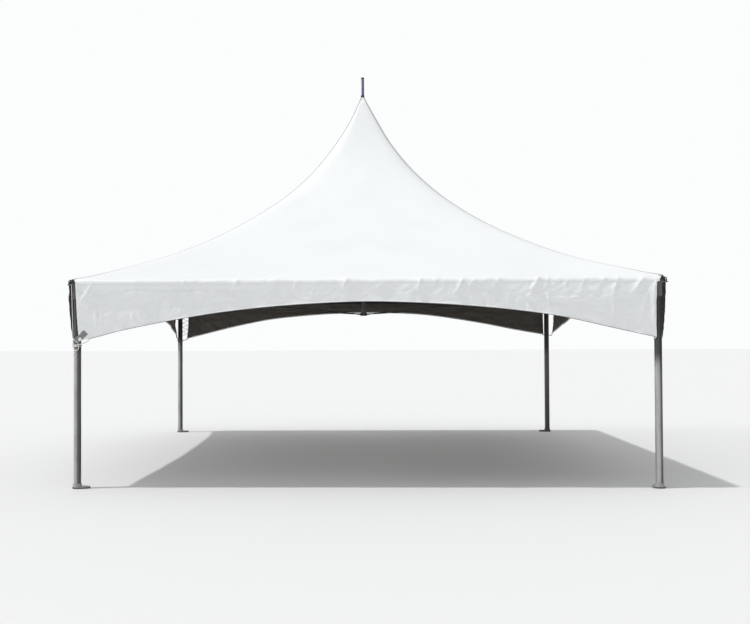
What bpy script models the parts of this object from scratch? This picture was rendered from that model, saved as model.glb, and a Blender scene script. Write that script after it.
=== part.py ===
"""High peak marquee tent, 6.1 m square at the eaves.

Four legs carry a square of eave rails through corner fittings. Cables cross the square from corner
to corner, and the mast stands on their crossing and pushes up the peak of the white vinyl top.
Metres, +Z up, origin on the ground under the mast. The front faces -Y.
"""
import bpy
import bmesh
from math import acos, atan2, cos, exp, hypot, pi, radians, sin, sqrt
from mathutils import Matrix, Vector

# Driving dimensions
GAP = 0.0003
FABRIC = 0.003
LEG_AXIS = 2.965
LEG_RADIUS = 0.0381
LEG_WALL = 0.0032
LEG_TOP = 2.066
PLATE_THICKNESS = 0.020
RAIL_RADIUS = 0.03175
RAIL_WALL = 0.0032
RAIL_AXIS = 3.0128
RAIL_HEIGHT = 2.100
RAIL_END = 2.900
MAST_BOTTOM = 1.813
PEAK_HEIGHT = 4.708
MAST_TOP = 4.980
POLE_RADIUS = 0.02415
POLE_WALL = 0.0027
TIP_RADIUS = 0.0211
TIP_WALL = 0.003
CABLE_RADIUS = 0.005
SWAGE_RADIUS = 0.009
CORD_RADIUS = 0.005
VALANCE_LEAN = 0.035
CORNER_CUT = 6.013

# Where the sizes above put the fabric: it goes over the rail in flat steps that stay clear of it
EAVE_SLOPE = radians(16)
EAVE_ROWS = 4
EAVE_STEP = (pi / 2 - EAVE_SLOPE) / EAVE_ROWS
FABRIC_ROUND = (RAIL_RADIUS + GAP) / cos(EAVE_STEP / 2) + FABRIC
EAVE_HALF = RAIL_AXIS + FABRIC_ROUND

# The four sides, by the angle that turns the front side onto them, and how far each valance
# reaches along its own rail from the middle, to its left and to its right as seen from outside
SIDES = {"front": 0, "right": 90, "back": 180, "left": 270}
VALANCE_REACH = {
    "front": (2.966, 2.935),
    "right": (2.965, 2.730),
    "back": (2.925, 2.865),
    "left": (2.930, 2.965),
}

# The height of each hem every half metre along its side, from its left end to its right end
HEM_PITCH = 0.5
HEM_START = -3.0
HEM_HEIGHTS = {
    "front": (1.498, 1.619, 1.717, 1.797, 1.852, 1.886, 1.903, 1.890, 1.860, 1.813, 1.740, 1.628,
              1.515),
    "right": (1.518, 1.626, 1.716, 1.790, 1.845, 1.880, 1.896, 1.888, 1.853, 1.799, 1.722, 1.627,
              1.520),
    "back": (1.548, 1.635, 1.735, 1.821, 1.888, 1.918, 1.926, 1.910, 1.876, 1.822, 1.727, 1.607,
             1.480),
    "left": (1.460, 1.686, 1.783, 1.840, 1.877, 1.890, 1.897, 1.890, 1.845, 1.790, 1.716, 1.626,
             1.518),
}

# The four corners, by their signs on X and Y, and the way the long end of each foot plate points
CORNERS = {
    "front_left": (-1, -1),
    "front_right": (1, -1),
    "back_left": (-1, 1),
    "back_right": (1, 1),
}
FOOT_TURN = {"front_left": 0, "front_right": 90, "back_left": 0, "back_right": 180}


def empty_scene():
    """Remove whatever the scene holds."""
    for item in list(bpy.data.objects):
        bpy.data.objects.remove(item, do_unlink=True)


def new_collection(name):
    """A collection linked to the scene."""
    collection = bpy.data.collections.new(name)
    bpy.context.scene.collection.children.link(collection)
    return collection


def material(name, colour, roughness, metallic=0.0):
    """A plain Principled material."""
    result = bpy.data.materials.new(name)
    result.use_nodes = True
    shader = result.node_tree.nodes["Principled BSDF"]
    shader.inputs["Base Color"].default_value = (*colour, 1)
    shader.inputs["Roughness"].default_value = roughness
    shader.inputs["Metallic"].default_value = metallic
    result.diffuse_color = (*colour, 1)
    return result


def finish(bm, name, finish_material, smooth_angle=None):
    """Turn a bmesh into a named object of the tent."""
    bmesh.ops.recalc_face_normals(bm, faces=bm.faces)
    if bm.calc_volume(signed=True) < 0:
        bmesh.ops.reverse_faces(bm, faces=bm.faces)
    mesh = bpy.data.meshes.new(name)
    bm.to_mesh(mesh)
    bm.free()
    if smooth_angle is not None:
        mesh.shade_smooth()
        mesh.set_sharp_from_angle(angle=radians(smooth_angle))
    mesh.materials.append(finish_material)
    result = bpy.data.objects.new(name, mesh)
    PARTS.objects.link(result)
    return result


def add_cylinder(bm, radius, low, high, place=Matrix(), segments=24):
    """A capped cylinder along local Z from low to high."""
    turn = place @ Matrix.Translation((0, 0, (low + high) / 2))
    bmesh.ops.create_cone(bm, cap_ends=True, segments=segments, radius1=radius, radius2=radius,
                          depth=high - low, matrix=turn)


def add_box(bm, low, high, place=Matrix()):
    """A box between two corners."""
    low, high = Vector(low), Vector(high)
    size = Matrix.Diagonal((*(high - low), 1))
    bmesh.ops.create_cube(bm, size=1, matrix=place @ Matrix.Translation((low + high) / 2) @ size)


def sheet(columns, rows):
    """A flat grid one unit wide, with a second layer one unit above it, closed round the edge."""
    bm = bmesh.new()
    bmesh.ops.create_grid(bm, x_segments=columns, y_segments=rows, size=0.5)
    raised = bmesh.ops.extrude_face_region(bm, geom=list(bm.faces), use_keep_orig=True)
    verts = [item for item in raised["geom"] if isinstance(item, bmesh.types.BMVert)]
    bmesh.ops.translate(bm, verts=verts, vec=(0, 0, 1))
    return bm


def cutter(name, build):
    """A hidden object that a Boolean modifier uses."""
    bm = bmesh.new()
    build(bm)
    mesh = bpy.data.meshes.new(name)
    bm.to_mesh(mesh)
    bm.free()
    result = bpy.data.objects.new(name, mesh)
    result.hide_render = True
    result.display_type = "WIRE"
    CUTTERS.objects.link(result)
    return result


def boolean(target, operation, other):
    """Join another object to the target, or cut it away."""
    modifier = target.modifiers.new(f"{operation.lower()}_{other.name}", "BOOLEAN")
    modifier.operation = operation
    modifier.solver = "EXACT"
    modifier.object = other


def tube(name, radius, wall, length, finish_material, segments=24):
    """A tube along +Z from the object's origin, as a turned profile, open at both ends."""
    bm = bmesh.new()
    outline = [(radius, length), (radius, 0), (radius - wall, 0), (radius - wall, length)]
    points = [bm.verts.new((x, 0, z)) for x, z in outline]
    for start, end in zip(points, points[1:] + points[:1]):
        bm.edges.new((start, end))
    mesh = bpy.data.meshes.new(name)
    bm.to_mesh(mesh)
    bm.free()
    mesh.materials.append(finish_material)
    result = bpy.data.objects.new(name, mesh)
    PARTS.objects.link(result)
    screw = result.modifiers.new("turn", "SCREW")
    screw.steps = segments
    screw.render_steps = segments
    screw.use_merge_vertices = True
    screw.merge_threshold = 0.0001
    screw.use_smooth_shade = False
    return result


def rope(name, points, radius, finish_material, radii=None):
    """A round cord, wire or rod through the points, with filled ends."""
    curve = bpy.data.curves.new(name, "CURVE")
    curve.dimensions = "3D"
    curve.bevel_depth = radius
    curve.bevel_resolution = 2
    curve.use_fill_caps = True
    spline = curve.splines.new("POLY")
    spline.points.add(len(points) - 1)
    for index, point in enumerate(points):
        spline.points[index].co = (*point, 1)
        spline.points[index].radius = radii[index] if radii else 1
    curve.materials.append(finish_material)
    result = bpy.data.objects.new(name, curve)
    PARTS.objects.link(result)
    return result


# Legs and feet

FOOT_SHORT = 0.051
FOOT_LONG = 0.134
FOOT_HALF_WIDTH = 0.061
SOCKET_HEIGHT = 0.030
SOCKET_RADIUS = 0.0440
SOCKET_FLARE_RADIUS = 0.0480
STAKE_HOLE_RADIUS = 0.012
STAKE_HOLE_REACH = 0.094


def corner_place(corner):
    """Where a corner's leg stands."""
    sign_x, sign_y = CORNERS[corner]
    return Vector((sign_x * LEG_AXIS, sign_y * LEG_AXIS, 0))


def make_leg(corner):
    """A round aluminium tube, from just above its foot plate to the corner fitting."""
    bottom = PLATE_THICKNESS + GAP
    leg = tube(f"leg_{corner}", LEG_RADIUS, LEG_WALL, LEG_TOP - bottom, ALUMINIUM)
    leg.location = corner_place(corner) + Vector((0, 0, bottom))
    return leg


def egg_outline(count=32):
    """The foot plate's outline: a short half ellipse, and a longer one towards the stake hole."""
    points = []
    for index in range(count):
        angle = 2 * pi * index / count
        reach = FOOT_LONG if cos(angle) > 0 else FOOT_SHORT
        points.append((reach * cos(angle), FOOT_HALF_WIDTH * sin(angle)))
    return points


def add_flared_socket(bm):
    """The solid of the socket, widest where it meets the plate."""
    height = SOCKET_HEIGHT + PLATE_THICKNESS / 2
    bmesh.ops.create_cone(bm, cap_ends=True, segments=24, radius1=SOCKET_FLARE_RADIUS,
                          radius2=SOCKET_RADIUS, depth=height,
                          matrix=Matrix.Translation((0, 0, (PLATE_THICKNESS + height) / 2)))


def make_foot(corner):
    """The cast steel foot: an egg shaped plate with a stake hole and a flared socket."""
    bm = bmesh.new()
    outline = [bm.verts.new((x, y, 0)) for x, y in egg_outline()]
    face = bm.faces.new(outline)
    raised = bmesh.ops.extrude_face_region(bm, geom=[face])
    raised_verts = [item for item in raised["geom"] if isinstance(item, bmesh.types.BMVert)]
    bmesh.ops.translate(bm, verts=raised_verts, vec=(0, 0, PLATE_THICKNESS))
    foot = finish(bm, f"foot_{corner}", STEEL)
    socket = cutter(f"socket_{corner}", add_flared_socket)
    bore = cutter(f"socket_bore_{corner}", lambda work: add_cylinder(
        work, LEG_RADIUS + GAP, PLATE_THICKNESS, PLATE_THICKNESS + 2 * SOCKET_HEIGHT))
    hole = cutter(f"stake_hole_{corner}", lambda work: add_cylinder(
        work, STAKE_HOLE_RADIUS, -PLATE_THICKNESS, 2 * PLATE_THICKNESS,
        Matrix.Translation((STAKE_HOLE_REACH, 0, 0)), segments=12))
    boolean(foot, "UNION", socket)
    boolean(foot, "DIFFERENCE", bore)
    boolean(foot, "DIFFERENCE", hole)
    turn = Matrix.Rotation(radians(FOOT_TURN[corner]), 4, "Z")
    for item in (foot, socket, bore, hole):
        item.matrix_world = Matrix.Translation(corner_place(corner)) @ turn
    return foot


# Corner fittings, their rings and the eave rails

FITTING_RADIUS = 0.0440
FITTING_BOTTOM = 1.940
FITTING_TOP = 2.122
ARM_START = 2.955
SPIGOT_RADIUS = RAIL_RADIUS - RAIL_WALL - GAP
SPIGOT_END = 2.800
RING_PLATE_TOP = 2.092
RING_PLATE_THICKNESS = 0.010
RING_PLATE_REACH = (0.020, 0.088)
RING_PLATE_HALF = 0.052
RING_REACH = 0.078
RING_HALF = 0.039
RING_HEIGHT = 0.040
RING_ROD = 0.006
EYE_REACH = 0.085
EYE_HALF_THICKNESS = 0.006
EYE_HEIGHTS = (2.030, 2.070)


def diagonal_frame(corner):
    """Local +X outwards along the corner's diagonal, from the leg's axis."""
    sign_x, sign_y = CORNERS[corner]
    turn = Matrix.Rotation(atan2(sign_y, sign_x), 4, "Z")
    return Matrix.Translation(corner_place(corner)) @ turn


def arm_frames(corner):
    """The two rail directions at a corner: local +Z runs along the rail, away from the corner."""
    sign_x, sign_y = CORNERS[corner]
    along_x = Matrix.Translation((0, sign_y * RAIL_AXIS, RAIL_HEIGHT))
    along_x = along_x @ Matrix.Rotation(sign_x * pi / 2, 4, "Y")
    along_y = Matrix.Translation((sign_x * RAIL_AXIS, 0, RAIL_HEIGHT))
    along_y = along_y @ Matrix.Rotation(-sign_y * pi / 2, 4, "X")
    return along_x, along_y


def make_corner_fitting(corner):
    """A welded steel corner: leg socket, two arms with spigots, ring plate and cable eye plate."""
    bm = bmesh.new()
    place = Matrix.Translation(corner_place(corner))
    add_cylinder(bm, FITTING_RADIUS, FITTING_BOTTOM, FITTING_TOP, place)
    fitting = finish(bm, f"corner_fitting_{corner}", STEEL)
    pieces = []
    for number, frame in enumerate(arm_frames(corner)):
        pieces.append(cutter(f"arm_{number}_{corner}", lambda work: add_cylinder(
            work, RAIL_RADIUS, RAIL_END + GAP, ARM_START, frame)))
        pieces.append(cutter(f"spigot_{number}_{corner}", lambda work: add_cylinder(
            work, SPIGOT_RADIUS, SPIGOT_END, RAIL_END + 10 * GAP, frame)))
    diagonal = diagonal_frame(corner)
    pieces.append(cutter(f"ring_plate_{corner}", lambda work: add_box(
        work, (RING_PLATE_REACH[0], -RING_PLATE_HALF, RING_PLATE_TOP - RING_PLATE_THICKNESS),
        (RING_PLATE_REACH[1], RING_PLATE_HALF, RING_PLATE_TOP), diagonal)))
    pieces.append(cutter(f"eye_plate_{corner}", lambda work: add_box(
        work, (-EYE_REACH, -EYE_HALF_THICKNESS, EYE_HEIGHTS[0]),
        (-FITTING_RADIUS / 2, EYE_HALF_THICKNESS, EYE_HEIGHTS[1]), diagonal)))
    for piece in pieces:
        boolean(fitting, "UNION", piece)
    bore = cutter(f"leg_bore_{corner}", lambda work: add_cylinder(
        work, LEG_RADIUS + GAP, FITTING_BOTTOM - FITTING_RADIUS, LEG_TOP + GAP, place))
    boolean(fitting, "DIFFERENCE", bore)
    return fitting


def make_corner_ring(corner):
    """The round bar bent into a loop, standing on the ring plate."""
    frame = diagonal_frame(corner)
    base = RING_PLATE_TOP + GAP
    shoulder = base + RING_HEIGHT - RING_HALF / 2
    points = [Vector((RING_REACH, -RING_HALF, base)), Vector((RING_REACH, -RING_HALF, shoulder))]
    steps = 10
    for step in range(1, steps):
        angle = pi * step / steps
        points.append(Vector((RING_REACH, -RING_HALF * cos(angle),
                              shoulder + (RING_HALF / 2) * sin(angle))))
    points += [Vector((RING_REACH, RING_HALF, shoulder)), Vector((RING_REACH, RING_HALF, base))]
    return rope(f"corner_ring_{corner}", [frame @ point for point in points], RING_ROD, STEEL)


def make_eave_rail(side):
    """A round aluminium tube along one side, slid onto the spigots of its two corner fittings."""
    rail = tube(f"eave_rail_{side}", RAIL_RADIUS, RAIL_WALL, 2 * RAIL_END, ALUMINIUM)
    turn = Matrix.Rotation(radians(SIDES[side]), 4, "Z")
    lie = Matrix.Translation((-RAIL_END, -RAIL_AXIS, RAIL_HEIGHT)) @ Matrix.Rotation(pi / 2, 4, "Y")
    rail.matrix_world = turn @ lie
    return rail


# Mast and cross cables

BASE_RADIUS = 0.0300
BASE_FLOOR = 0.010
BASE_TOP = 1.900
BASE_LUG_REACH = 0.054
BASE_LUG_HALF = 0.007
BASE_LUG_TOP = 1.853
COLLAR_HEIGHT = 0.028
COLLAR_RADIUS = 0.0250
CAP_HEIGHT = 0.022
CAP_RADIUS = 0.0222
TIP_BOTTOM = 4.400
CABLE_LOW = 1.834
CABLE_HIGH = 2.050
SWAGE_LENGTH = 0.070
CABLE_END_GAP = 0.0008


def make_mast():
    """The pole on the cable crossing, the thinner tip inside its top, the tip's cap, the collar."""
    pole_bottom = MAST_BOTTOM + BASE_FLOOR + GAP
    pole_top = PEAK_HEIGHT - 0.005
    pole = tube("mast_pole", POLE_RADIUS, POLE_WALL, pole_top - pole_bottom, ALUMINIUM)
    pole.location.z = pole_bottom
    cap_bottom = MAST_TOP - CAP_HEIGHT
    tip = tube("mast_tip", TIP_RADIUS, TIP_WALL, cap_bottom - GAP - TIP_BOTTOM, PAINTED_TIP)
    tip.location.z = TIP_BOTTOM
    bm = bmesh.new()
    add_cylinder(bm, CAP_RADIUS, cap_bottom, MAST_TOP)
    rim = [edge for edge in bm.edges if all(vert.co.z > MAST_TOP - GAP for vert in edge.verts)]
    bmesh.ops.bevel(bm, geom=rim, offset=0.008, segments=3, profile=0.5, affect="EDGES")
    finish(bm, "mast_cap", BLACK_PLASTIC)
    collar = tube("peak_collar", COLLAR_RADIUS, COLLAR_RADIUS - TIP_RADIUS - GAP, COLLAR_HEIGHT,
                  BLACK_PLASTIC)
    collar.location.z = PEAK_HEIGHT + GAP


def make_mast_base():
    """The cup that holds the pole, with a lug towards each corner for the cross cables."""
    bm = bmesh.new()
    add_cylinder(bm, BASE_RADIUS, MAST_BOTTOM, BASE_TOP)
    base = finish(bm, "mast_base", STEEL)
    for number in range(2):
        turn = Matrix.Rotation(radians(45 + 90 * number), 4, "Z")
        lug = cutter(f"base_lugs_{number}", lambda work: add_box(
            work, (-BASE_LUG_REACH, -BASE_LUG_HALF, MAST_BOTTOM + 4 * GAP),
            (BASE_LUG_REACH, BASE_LUG_HALF, BASE_LUG_TOP), turn))
        boolean(base, "UNION", lug)
    bore = cutter("base_bore", lambda work: add_cylinder(
        work, POLE_RADIUS + GAP, MAST_BOTTOM + BASE_FLOOR, BASE_TOP + BASE_FLOOR))
    boolean(base, "DIFFERENCE", bore)
    return base


def make_cross_cable(corner):
    """A wire rope pulled taut from the mast base to the corner fitting, with swaged ends."""
    sign_x, sign_y = CORNERS[corner]
    out = Vector((sign_x, sign_y, 0)).normalized()
    low = out * (BASE_LUG_REACH + CABLE_END_GAP) + Vector((0, 0, CABLE_LOW))
    high_reach = LEG_AXIS * sqrt(2) - EYE_REACH - CABLE_END_GAP
    high = out * high_reach + Vector((0, 0, CABLE_HIGH))
    along = (high - low).normalized()
    taper = SWAGE_LENGTH + 2 * SWAGE_RADIUS
    points = [low, low + along * SWAGE_LENGTH, low + along * taper,
              high - along * taper, high - along * SWAGE_LENGTH, high]
    thick = SWAGE_RADIUS / CABLE_RADIUS
    return rope(f"cross_cable_{corner}", points, CABLE_RADIUS, GALVANISED,
                radii=[thick, thick, 1, 1, thick, thick])


# Roof

PEAK_RADIUS = 0.0255
ROOF_CURL = 4.04
ROOF_CURL_SHARE = 0.50
ROOF_FLARE = 1.228
ROUNDNESS = 0.15
ROOF_COLUMNS = 14
ROOF_ROWS = 15
SHEET_HALF = RAIL_AXIS + FABRIC_ROUND * sin(EAVE_SLOPE)
SHEET_LOW = RAIL_HEIGHT + FABRIC_ROUND * cos(EAVE_SLOPE)


def roof_height(half):
    """Height of the roof where its slice is half as wide as twice this value."""
    share = half / SHEET_HALF
    start = PEAK_RADIUS / SHEET_HALF
    curl = (exp(-ROOF_CURL * share) - exp(-ROOF_CURL)) / (exp(-ROOF_CURL * start) - exp(-ROOF_CURL))
    flare = ((1 - share) / (1 - start)) ** ROOF_FLARE
    rise = ROOF_CURL_SHARE * curl + (1 - ROOF_CURL_SHARE) * flare
    return SHEET_LOW + (PEAK_HEIGHT - SHEET_LOW) * rise


def roof_slope(half):
    """Angle of the roof to level, in the middle of a side."""
    step = 0.002
    low = max(half - step, PEAK_RADIUS)
    high = min(half + step, SHEET_HALF)
    return atan2(roof_height(low) - roof_height(high), high - low)


def slice_reach(angle, half):
    """Reach of a slice from the mast at this angle: round at the peak, square at the eaves."""
    share = min((half - PEAK_RADIUS) / (SHEET_HALF - PEAK_RADIUS), 1)
    power = 2 / max(1 - share ** ROUNDNESS, 0.0001)
    if power > 400:
        return 1 / cos(angle)
    return (cos(angle) ** power + abs(sin(angle)) ** power) ** (-1 / power)


def roof_row(row):
    """A row of the panel: its half width, height and slope, down the sheet and over the rail."""
    if row <= ROOF_ROWS:
        share = (row / ROOF_ROWS) ** 1.5
        half = PEAK_RADIUS + (SHEET_HALF - PEAK_RADIUS) * share
        slope = EAVE_SLOPE if row == ROOF_ROWS else roof_slope(half)
        return half, roof_height(half), slope
    turn = EAVE_SLOPE + EAVE_STEP * (row - ROOF_ROWS)
    half = RAIL_AXIS + FABRIC_ROUND * sin(turn)
    return half, RAIL_HEIGHT + FABRIC_ROUND * cos(turn), turn


def make_roof_panel(side):
    """One quarter of the top, from hip to hip and from the peak to just over the eave rail."""
    rows = ROOF_ROWS + EAVE_ROWS
    bm = sheet(ROOF_COLUMNS, rows)
    for vert in bm.verts:
        angle = radians(90) * vert.co.x
        half, height, slope = roof_row(round((0.5 - vert.co.y) * rows))
        across = Vector((sin(angle), -cos(angle), 0)) * slice_reach(angle, half)
        depth = FABRIC * vert.co.z
        vert.co = across * (half - depth * sin(slope))
        vert.co += Vector((0, -GAP, height - depth * cos(slope)))
    for sign in (-1, 1):
        cut_corner(bm, sign)
    panel = finish(bm, f"roof_panel_{side}", VINYL)
    panel.rotation_euler.z = radians(SIDES[side])
    return panel


def cut_corner(bm, sign):
    """Cut the panel's corner off along the diagonal, where the corner fitting shows."""
    geometry = list(bm.verts) + list(bm.edges) + list(bm.faces)
    normal = Vector((sign, -1, 0)).normalized()
    place = normal * (CORNER_CUT / sqrt(2))
    cut = bmesh.ops.bisect_plane(bm, geom=geometry, dist=0.00001, plane_co=place, plane_no=normal,
                                 clear_outer=True)
    edges = [item for item in cut["geom_cut"] if isinstance(item, bmesh.types.BMEdge)]
    bmesh.ops.edgeloop_fill(bm, edges=edges)


# Valances

VALANCE_COLUMNS = 20
VALANCE_ROWS = 4
VALANCE_TOP = RAIL_HEIGHT - GAP


def hem_height(side, across):
    """Height of a side's arched hem, as a smooth curve through its table."""
    heights = HEM_HEIGHTS[side]
    place = (across - HEM_START) / HEM_PITCH
    index = min(max(int(place), 0), len(heights) - 2)
    share = place - index
    low, high = heights[index:index + 2]
    before = heights[index - 1] if index > 0 else 2 * low - high
    after = heights[index + 2] if index + 2 < len(heights) else 2 * high - low
    turn = 2 * before - 5 * low + 4 * high - after
    twist = 3 * low - before - 3 * high + after
    return low + share * (high - before + share * (turn + share * twist)) / 2


def valance_lean(across, down):
    """How far the valance is pulled in towards the leg near its lower corners."""
    return VALANCE_LEAN * down ** 2 * abs(across / LEG_AXIS) ** 4


def make_valance(side):
    """The arched skirt that hangs from one eave, a little short of the legs at its ends."""
    to_left, to_right = VALANCE_REACH[side]
    bm = sheet(VALANCE_COLUMNS, VALANCE_ROWS)
    for vert in bm.verts:
        across = -to_left + (to_left + to_right) * (vert.co.x + 0.5)
        down = 0.5 - vert.co.y
        height = VALANCE_TOP + (hem_height(side, across) - VALANCE_TOP) * down
        depth = -EAVE_HALF + valance_lean(across, down) + FABRIC * vert.co.z
        vert.co = (across, depth, height)
    valance = finish(bm, f"valance_{side}", VINYL)
    valance.rotation_euler.z = radians(SIDES[side])
    return valance


# Cords and strap

CORD_PITCH = 0.012
CORD_STEP = radians(24)
CORD_LEAD = 0.006
HEM_END_INSET = 0.010
LACE_RADIUS = 0.0035
LACE_TOP = 2.040
LACE_BOTTOM = 1.560
LACE_TURNS = 7
LACE_TURN_POINTS = 8
LACE_CLEAR = 0.001
DROP_RADIUS = 0.004
DROP_REACH = 0.068
DROP_LOW_ANGLE = radians(-27)
DROP_BOTTOM = 1.490
TIE_INSET = 0.030
TIE_BOTTOM = 1.320
STRAP_WIDTH = 0.060
STRAP_THICKNESS = 0.0025
STRAP_LENGTH = 0.125
STRAP_SLOPE = radians(43)
STRAP_START = -2.866
STRAP_START_HEIGHT = 1.600
STRAP_TURN = 2.972
STRAP_CLEAR = 0.0007
STRAP_COLUMNS = 10

# Each corner cord: how high it goes round its leg, how far from the ends of its two hems it starts,
# which way it goes round (1 is anticlockwise from above), and its full turns
CORD_TIES = {
    "front_left": (1.468, 0.110, HEM_END_INSET, -1, 1),
    "front_right": (1.508, HEM_END_INSET, HEM_END_INSET, -1, 0),
    "back_left": (1.487, HEM_END_INSET, HEM_END_INSET, -1, 1),
    "back_right": (1.550, HEM_END_INSET, HEM_END_INSET, -1, 0),
}
CORD_PASS_CLEAR = 0.0025


def faceted_hem(side, across):
    """Height of the modelled hem, which runs straight between the valance's columns."""
    to_left, to_right = VALANCE_REACH[side]
    pitch = (to_left + to_right) / VALANCE_COLUMNS
    low = -to_left + min(int((across + to_left) / pitch), VALANCE_COLUMNS - 1) * pitch
    share = (across - low) / pitch
    return hem_height(side, low) * (1 - share) + hem_height(side, low + pitch) * share


def hem_end(side, end, inset):
    """Where a cord leaves the hem near a lower corner; end is -1 at the left, 1 at the right."""
    across = (VALANCE_REACH[side][0 if end < 0 else 1] - inset) * end
    depth = -EAVE_HALF + valance_lean(across, 1) + FABRIC / 2
    highest = min(faceted_hem(side, across - CORD_RADIUS), faceted_hem(side, across + CORD_RADIUS))
    turn = Matrix.Rotation(radians(SIDES[side]), 3, "Z")
    return turn @ Vector((across, depth, highest - GAP))


def tangent_angle(point, centre, radius, way):
    """Angle on a circle where a straight run from the point meets it, going round the given way."""
    out = point - centre
    distance = hypot(out.x, out.y)
    return atan2(out.y, out.x) + way * acos(min(radius / distance, 1))


CORNER_VALANCES = {
    "front_left": (("front", -1), ("left", 1)),
    "front_right": (("front", 1), ("right", -1)),
    "back_left": (("back", 1), ("left", -1)),
    "back_right": (("back", -1), ("right", 1)),
}


def make_corner_cord(corner):
    """The cord from one valance's lower corner, round the leg, to the other valance's corner."""
    first, second = CORNER_VALANCES[corner]
    tie_height, first_inset, second_inset, way, turns = CORD_TIES[corner]
    centre = corner_place(corner)
    radius = (LEG_RADIUS + GAP + CORD_RADIUS) / cos(CORD_STEP / 2)
    drop = Vector((0, 0, CORD_LEAD))
    start = hem_end(*first, first_inset)
    end = hem_end(*second, second_inset)
    leads = [end - drop, end]
    if turns:
        outwards = Vector((end.x - centre.x, end.y - centre.y, 0)).normalized()
        past = outwards * (radius + 2 * CORD_RADIUS + CORD_PASS_CLEAR)
        leads.insert(0, centre + past + Vector((0, 0, tie_height - CORD_PITCH * (turns + 0.25))))
    first_angle = tangent_angle(start, centre, radius, way)
    last_angle = tangent_angle(leads[0], centre, radius, -way)
    sweep = way * ((way * (last_angle - first_angle)) % (2 * pi) + 2 * pi * turns)
    steps = max(round(abs(sweep) / CORD_STEP), 1)
    points = [start, start - drop]
    for step in range(steps + 1):
        angle = first_angle + sweep * step / steps
        height = tie_height - CORD_PITCH * abs(sweep) / (2 * pi) * step / steps
        points.append(Vector((centre.x + radius * cos(angle), centre.y + radius * sin(angle), height)))
    return rope(f"corner_cord_{corner}", points + leads, CORD_RADIUS, CORD)


def make_lacing_cord():
    """The cord laced to and fro between the back left leg and the end of the back valance."""
    centre = corner_place("back_left")
    reach = VALANCE_REACH["back"][1] - LACE_CLEAR
    points = []
    total = LACE_TURNS * LACE_TURN_POINTS
    for step in range(total + 1):
        height = LACE_TOP + (LACE_BOTTOM - LACE_TOP) * step / total
        down = (VALANCE_TOP - height) / (VALANCE_TOP - hem_height("back", reach))
        edge = Vector((-reach - LACE_RADIUS - 2 * LACE_CLEAR,
                       EAVE_HALF - FABRIC / 2 - valance_lean(reach, down), 0))
        outwards = (edge - centre).normalized()
        held_by = FITTING_RADIUS if height > FITTING_BOTTOM - 2 * LACE_RADIUS else LEG_RADIUS
        leg_side = centre + outwards * (held_by + 2 * GAP + LACE_RADIUS)
        share = (1 - cos(2 * pi * step / LACE_TURN_POINTS)) / 2
        point = leg_side.lerp(edge, share)
        points.append(Vector((point.x, point.y, height)))
    return rope("lacing_cord_back_left", points, LACE_RADIUS, CORD)


def make_drop_cord():
    """The taut cord outside the front left corner, from the ring plate down to the leg."""
    frame = diagonal_frame("front_left")
    reach = LEG_RADIUS + GAP + DROP_RADIUS
    high = Vector((DROP_REACH, 0, RING_PLATE_TOP - RING_PLATE_THICKNESS - GAP))
    low = Vector((reach * cos(DROP_LOW_ANGLE), reach * sin(DROP_LOW_ANGLE), DROP_BOTTOM))
    return rope("drop_cord_front_left", [frame @ high, frame @ low], DROP_RADIUS, CORD)


def make_tie_cord():
    """The second cord at the back left, from the left valance's hem down to the leg."""
    centre = corner_place("back_left")
    start = hem_end("left", -1, TIE_INSET)
    outwards = Vector((start.x - centre.x, start.y - centre.y, 0)).normalized()
    end = centre + outwards * (LEG_RADIUS + GAP + LACE_RADIUS) + Vector((0, 0, TIE_BOTTOM))
    points = [start, start - Vector((0, 0, CORD_LEAD)), end, end - Vector((0, 0, CORD_LEAD))]
    return rope("tie_cord_back_left", points, LACE_RADIUS, CORD)


def strap_place(along, height, lift):
    """A point of the strap: over the valance, then round the leg, lifted off what it lies on."""
    flat = STRAP_START + STRAP_TURN
    held = min(STRAP_TURN - max(flat - along, 0), VALANCE_REACH["front"][0])
    down = (VALANCE_TOP - height) / (VALANCE_TOP - hem_height("front", -held))
    depth = EAVE_HALF - valance_lean(held, min(down, 1)) + lift
    if along <= flat:
        return Vector((STRAP_START - along, -depth, height))
    radius = depth - LEG_AXIS
    angle = -pi / 2 - (along - flat) / (LEG_RADIUS + VALANCE_LEAN / 2)
    return Vector((-STRAP_TURN + radius * cos(angle), -LEG_AXIS + radius * sin(angle), height))


def make_strap():
    """The webbing strap over the front valance's left corner, down onto the leg."""
    bm = sheet(STRAP_COLUMNS, 2)
    for vert in bm.verts:
        run = STRAP_LENGTH * (vert.co.x + 0.5)
        side = STRAP_WIDTH * vert.co.y
        vert.co = strap_place(run * cos(STRAP_SLOPE) + side * sin(STRAP_SLOPE),
                              STRAP_START_HEIGHT - run * sin(STRAP_SLOPE) + side * cos(STRAP_SLOPE),
                              STRAP_CLEAR + STRAP_THICKNESS * vert.co.z)
    return finish(bm, "webbing_strap_front_left", WEBBING)


def build():
    """Make every piece of the tent."""
    for corner in CORNERS:
        make_leg(corner)
        make_foot(corner)
        make_corner_fitting(corner)
        make_corner_ring(corner)
        make_cross_cable(corner)
        make_corner_cord(corner)
    for side in SIDES:
        make_eave_rail(side)
        make_roof_panel(side)
        make_valance(side)
    make_mast()
    make_mast_base()
    make_lacing_cord()
    make_drop_cord()
    make_tie_cord()
    make_strap()


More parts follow.
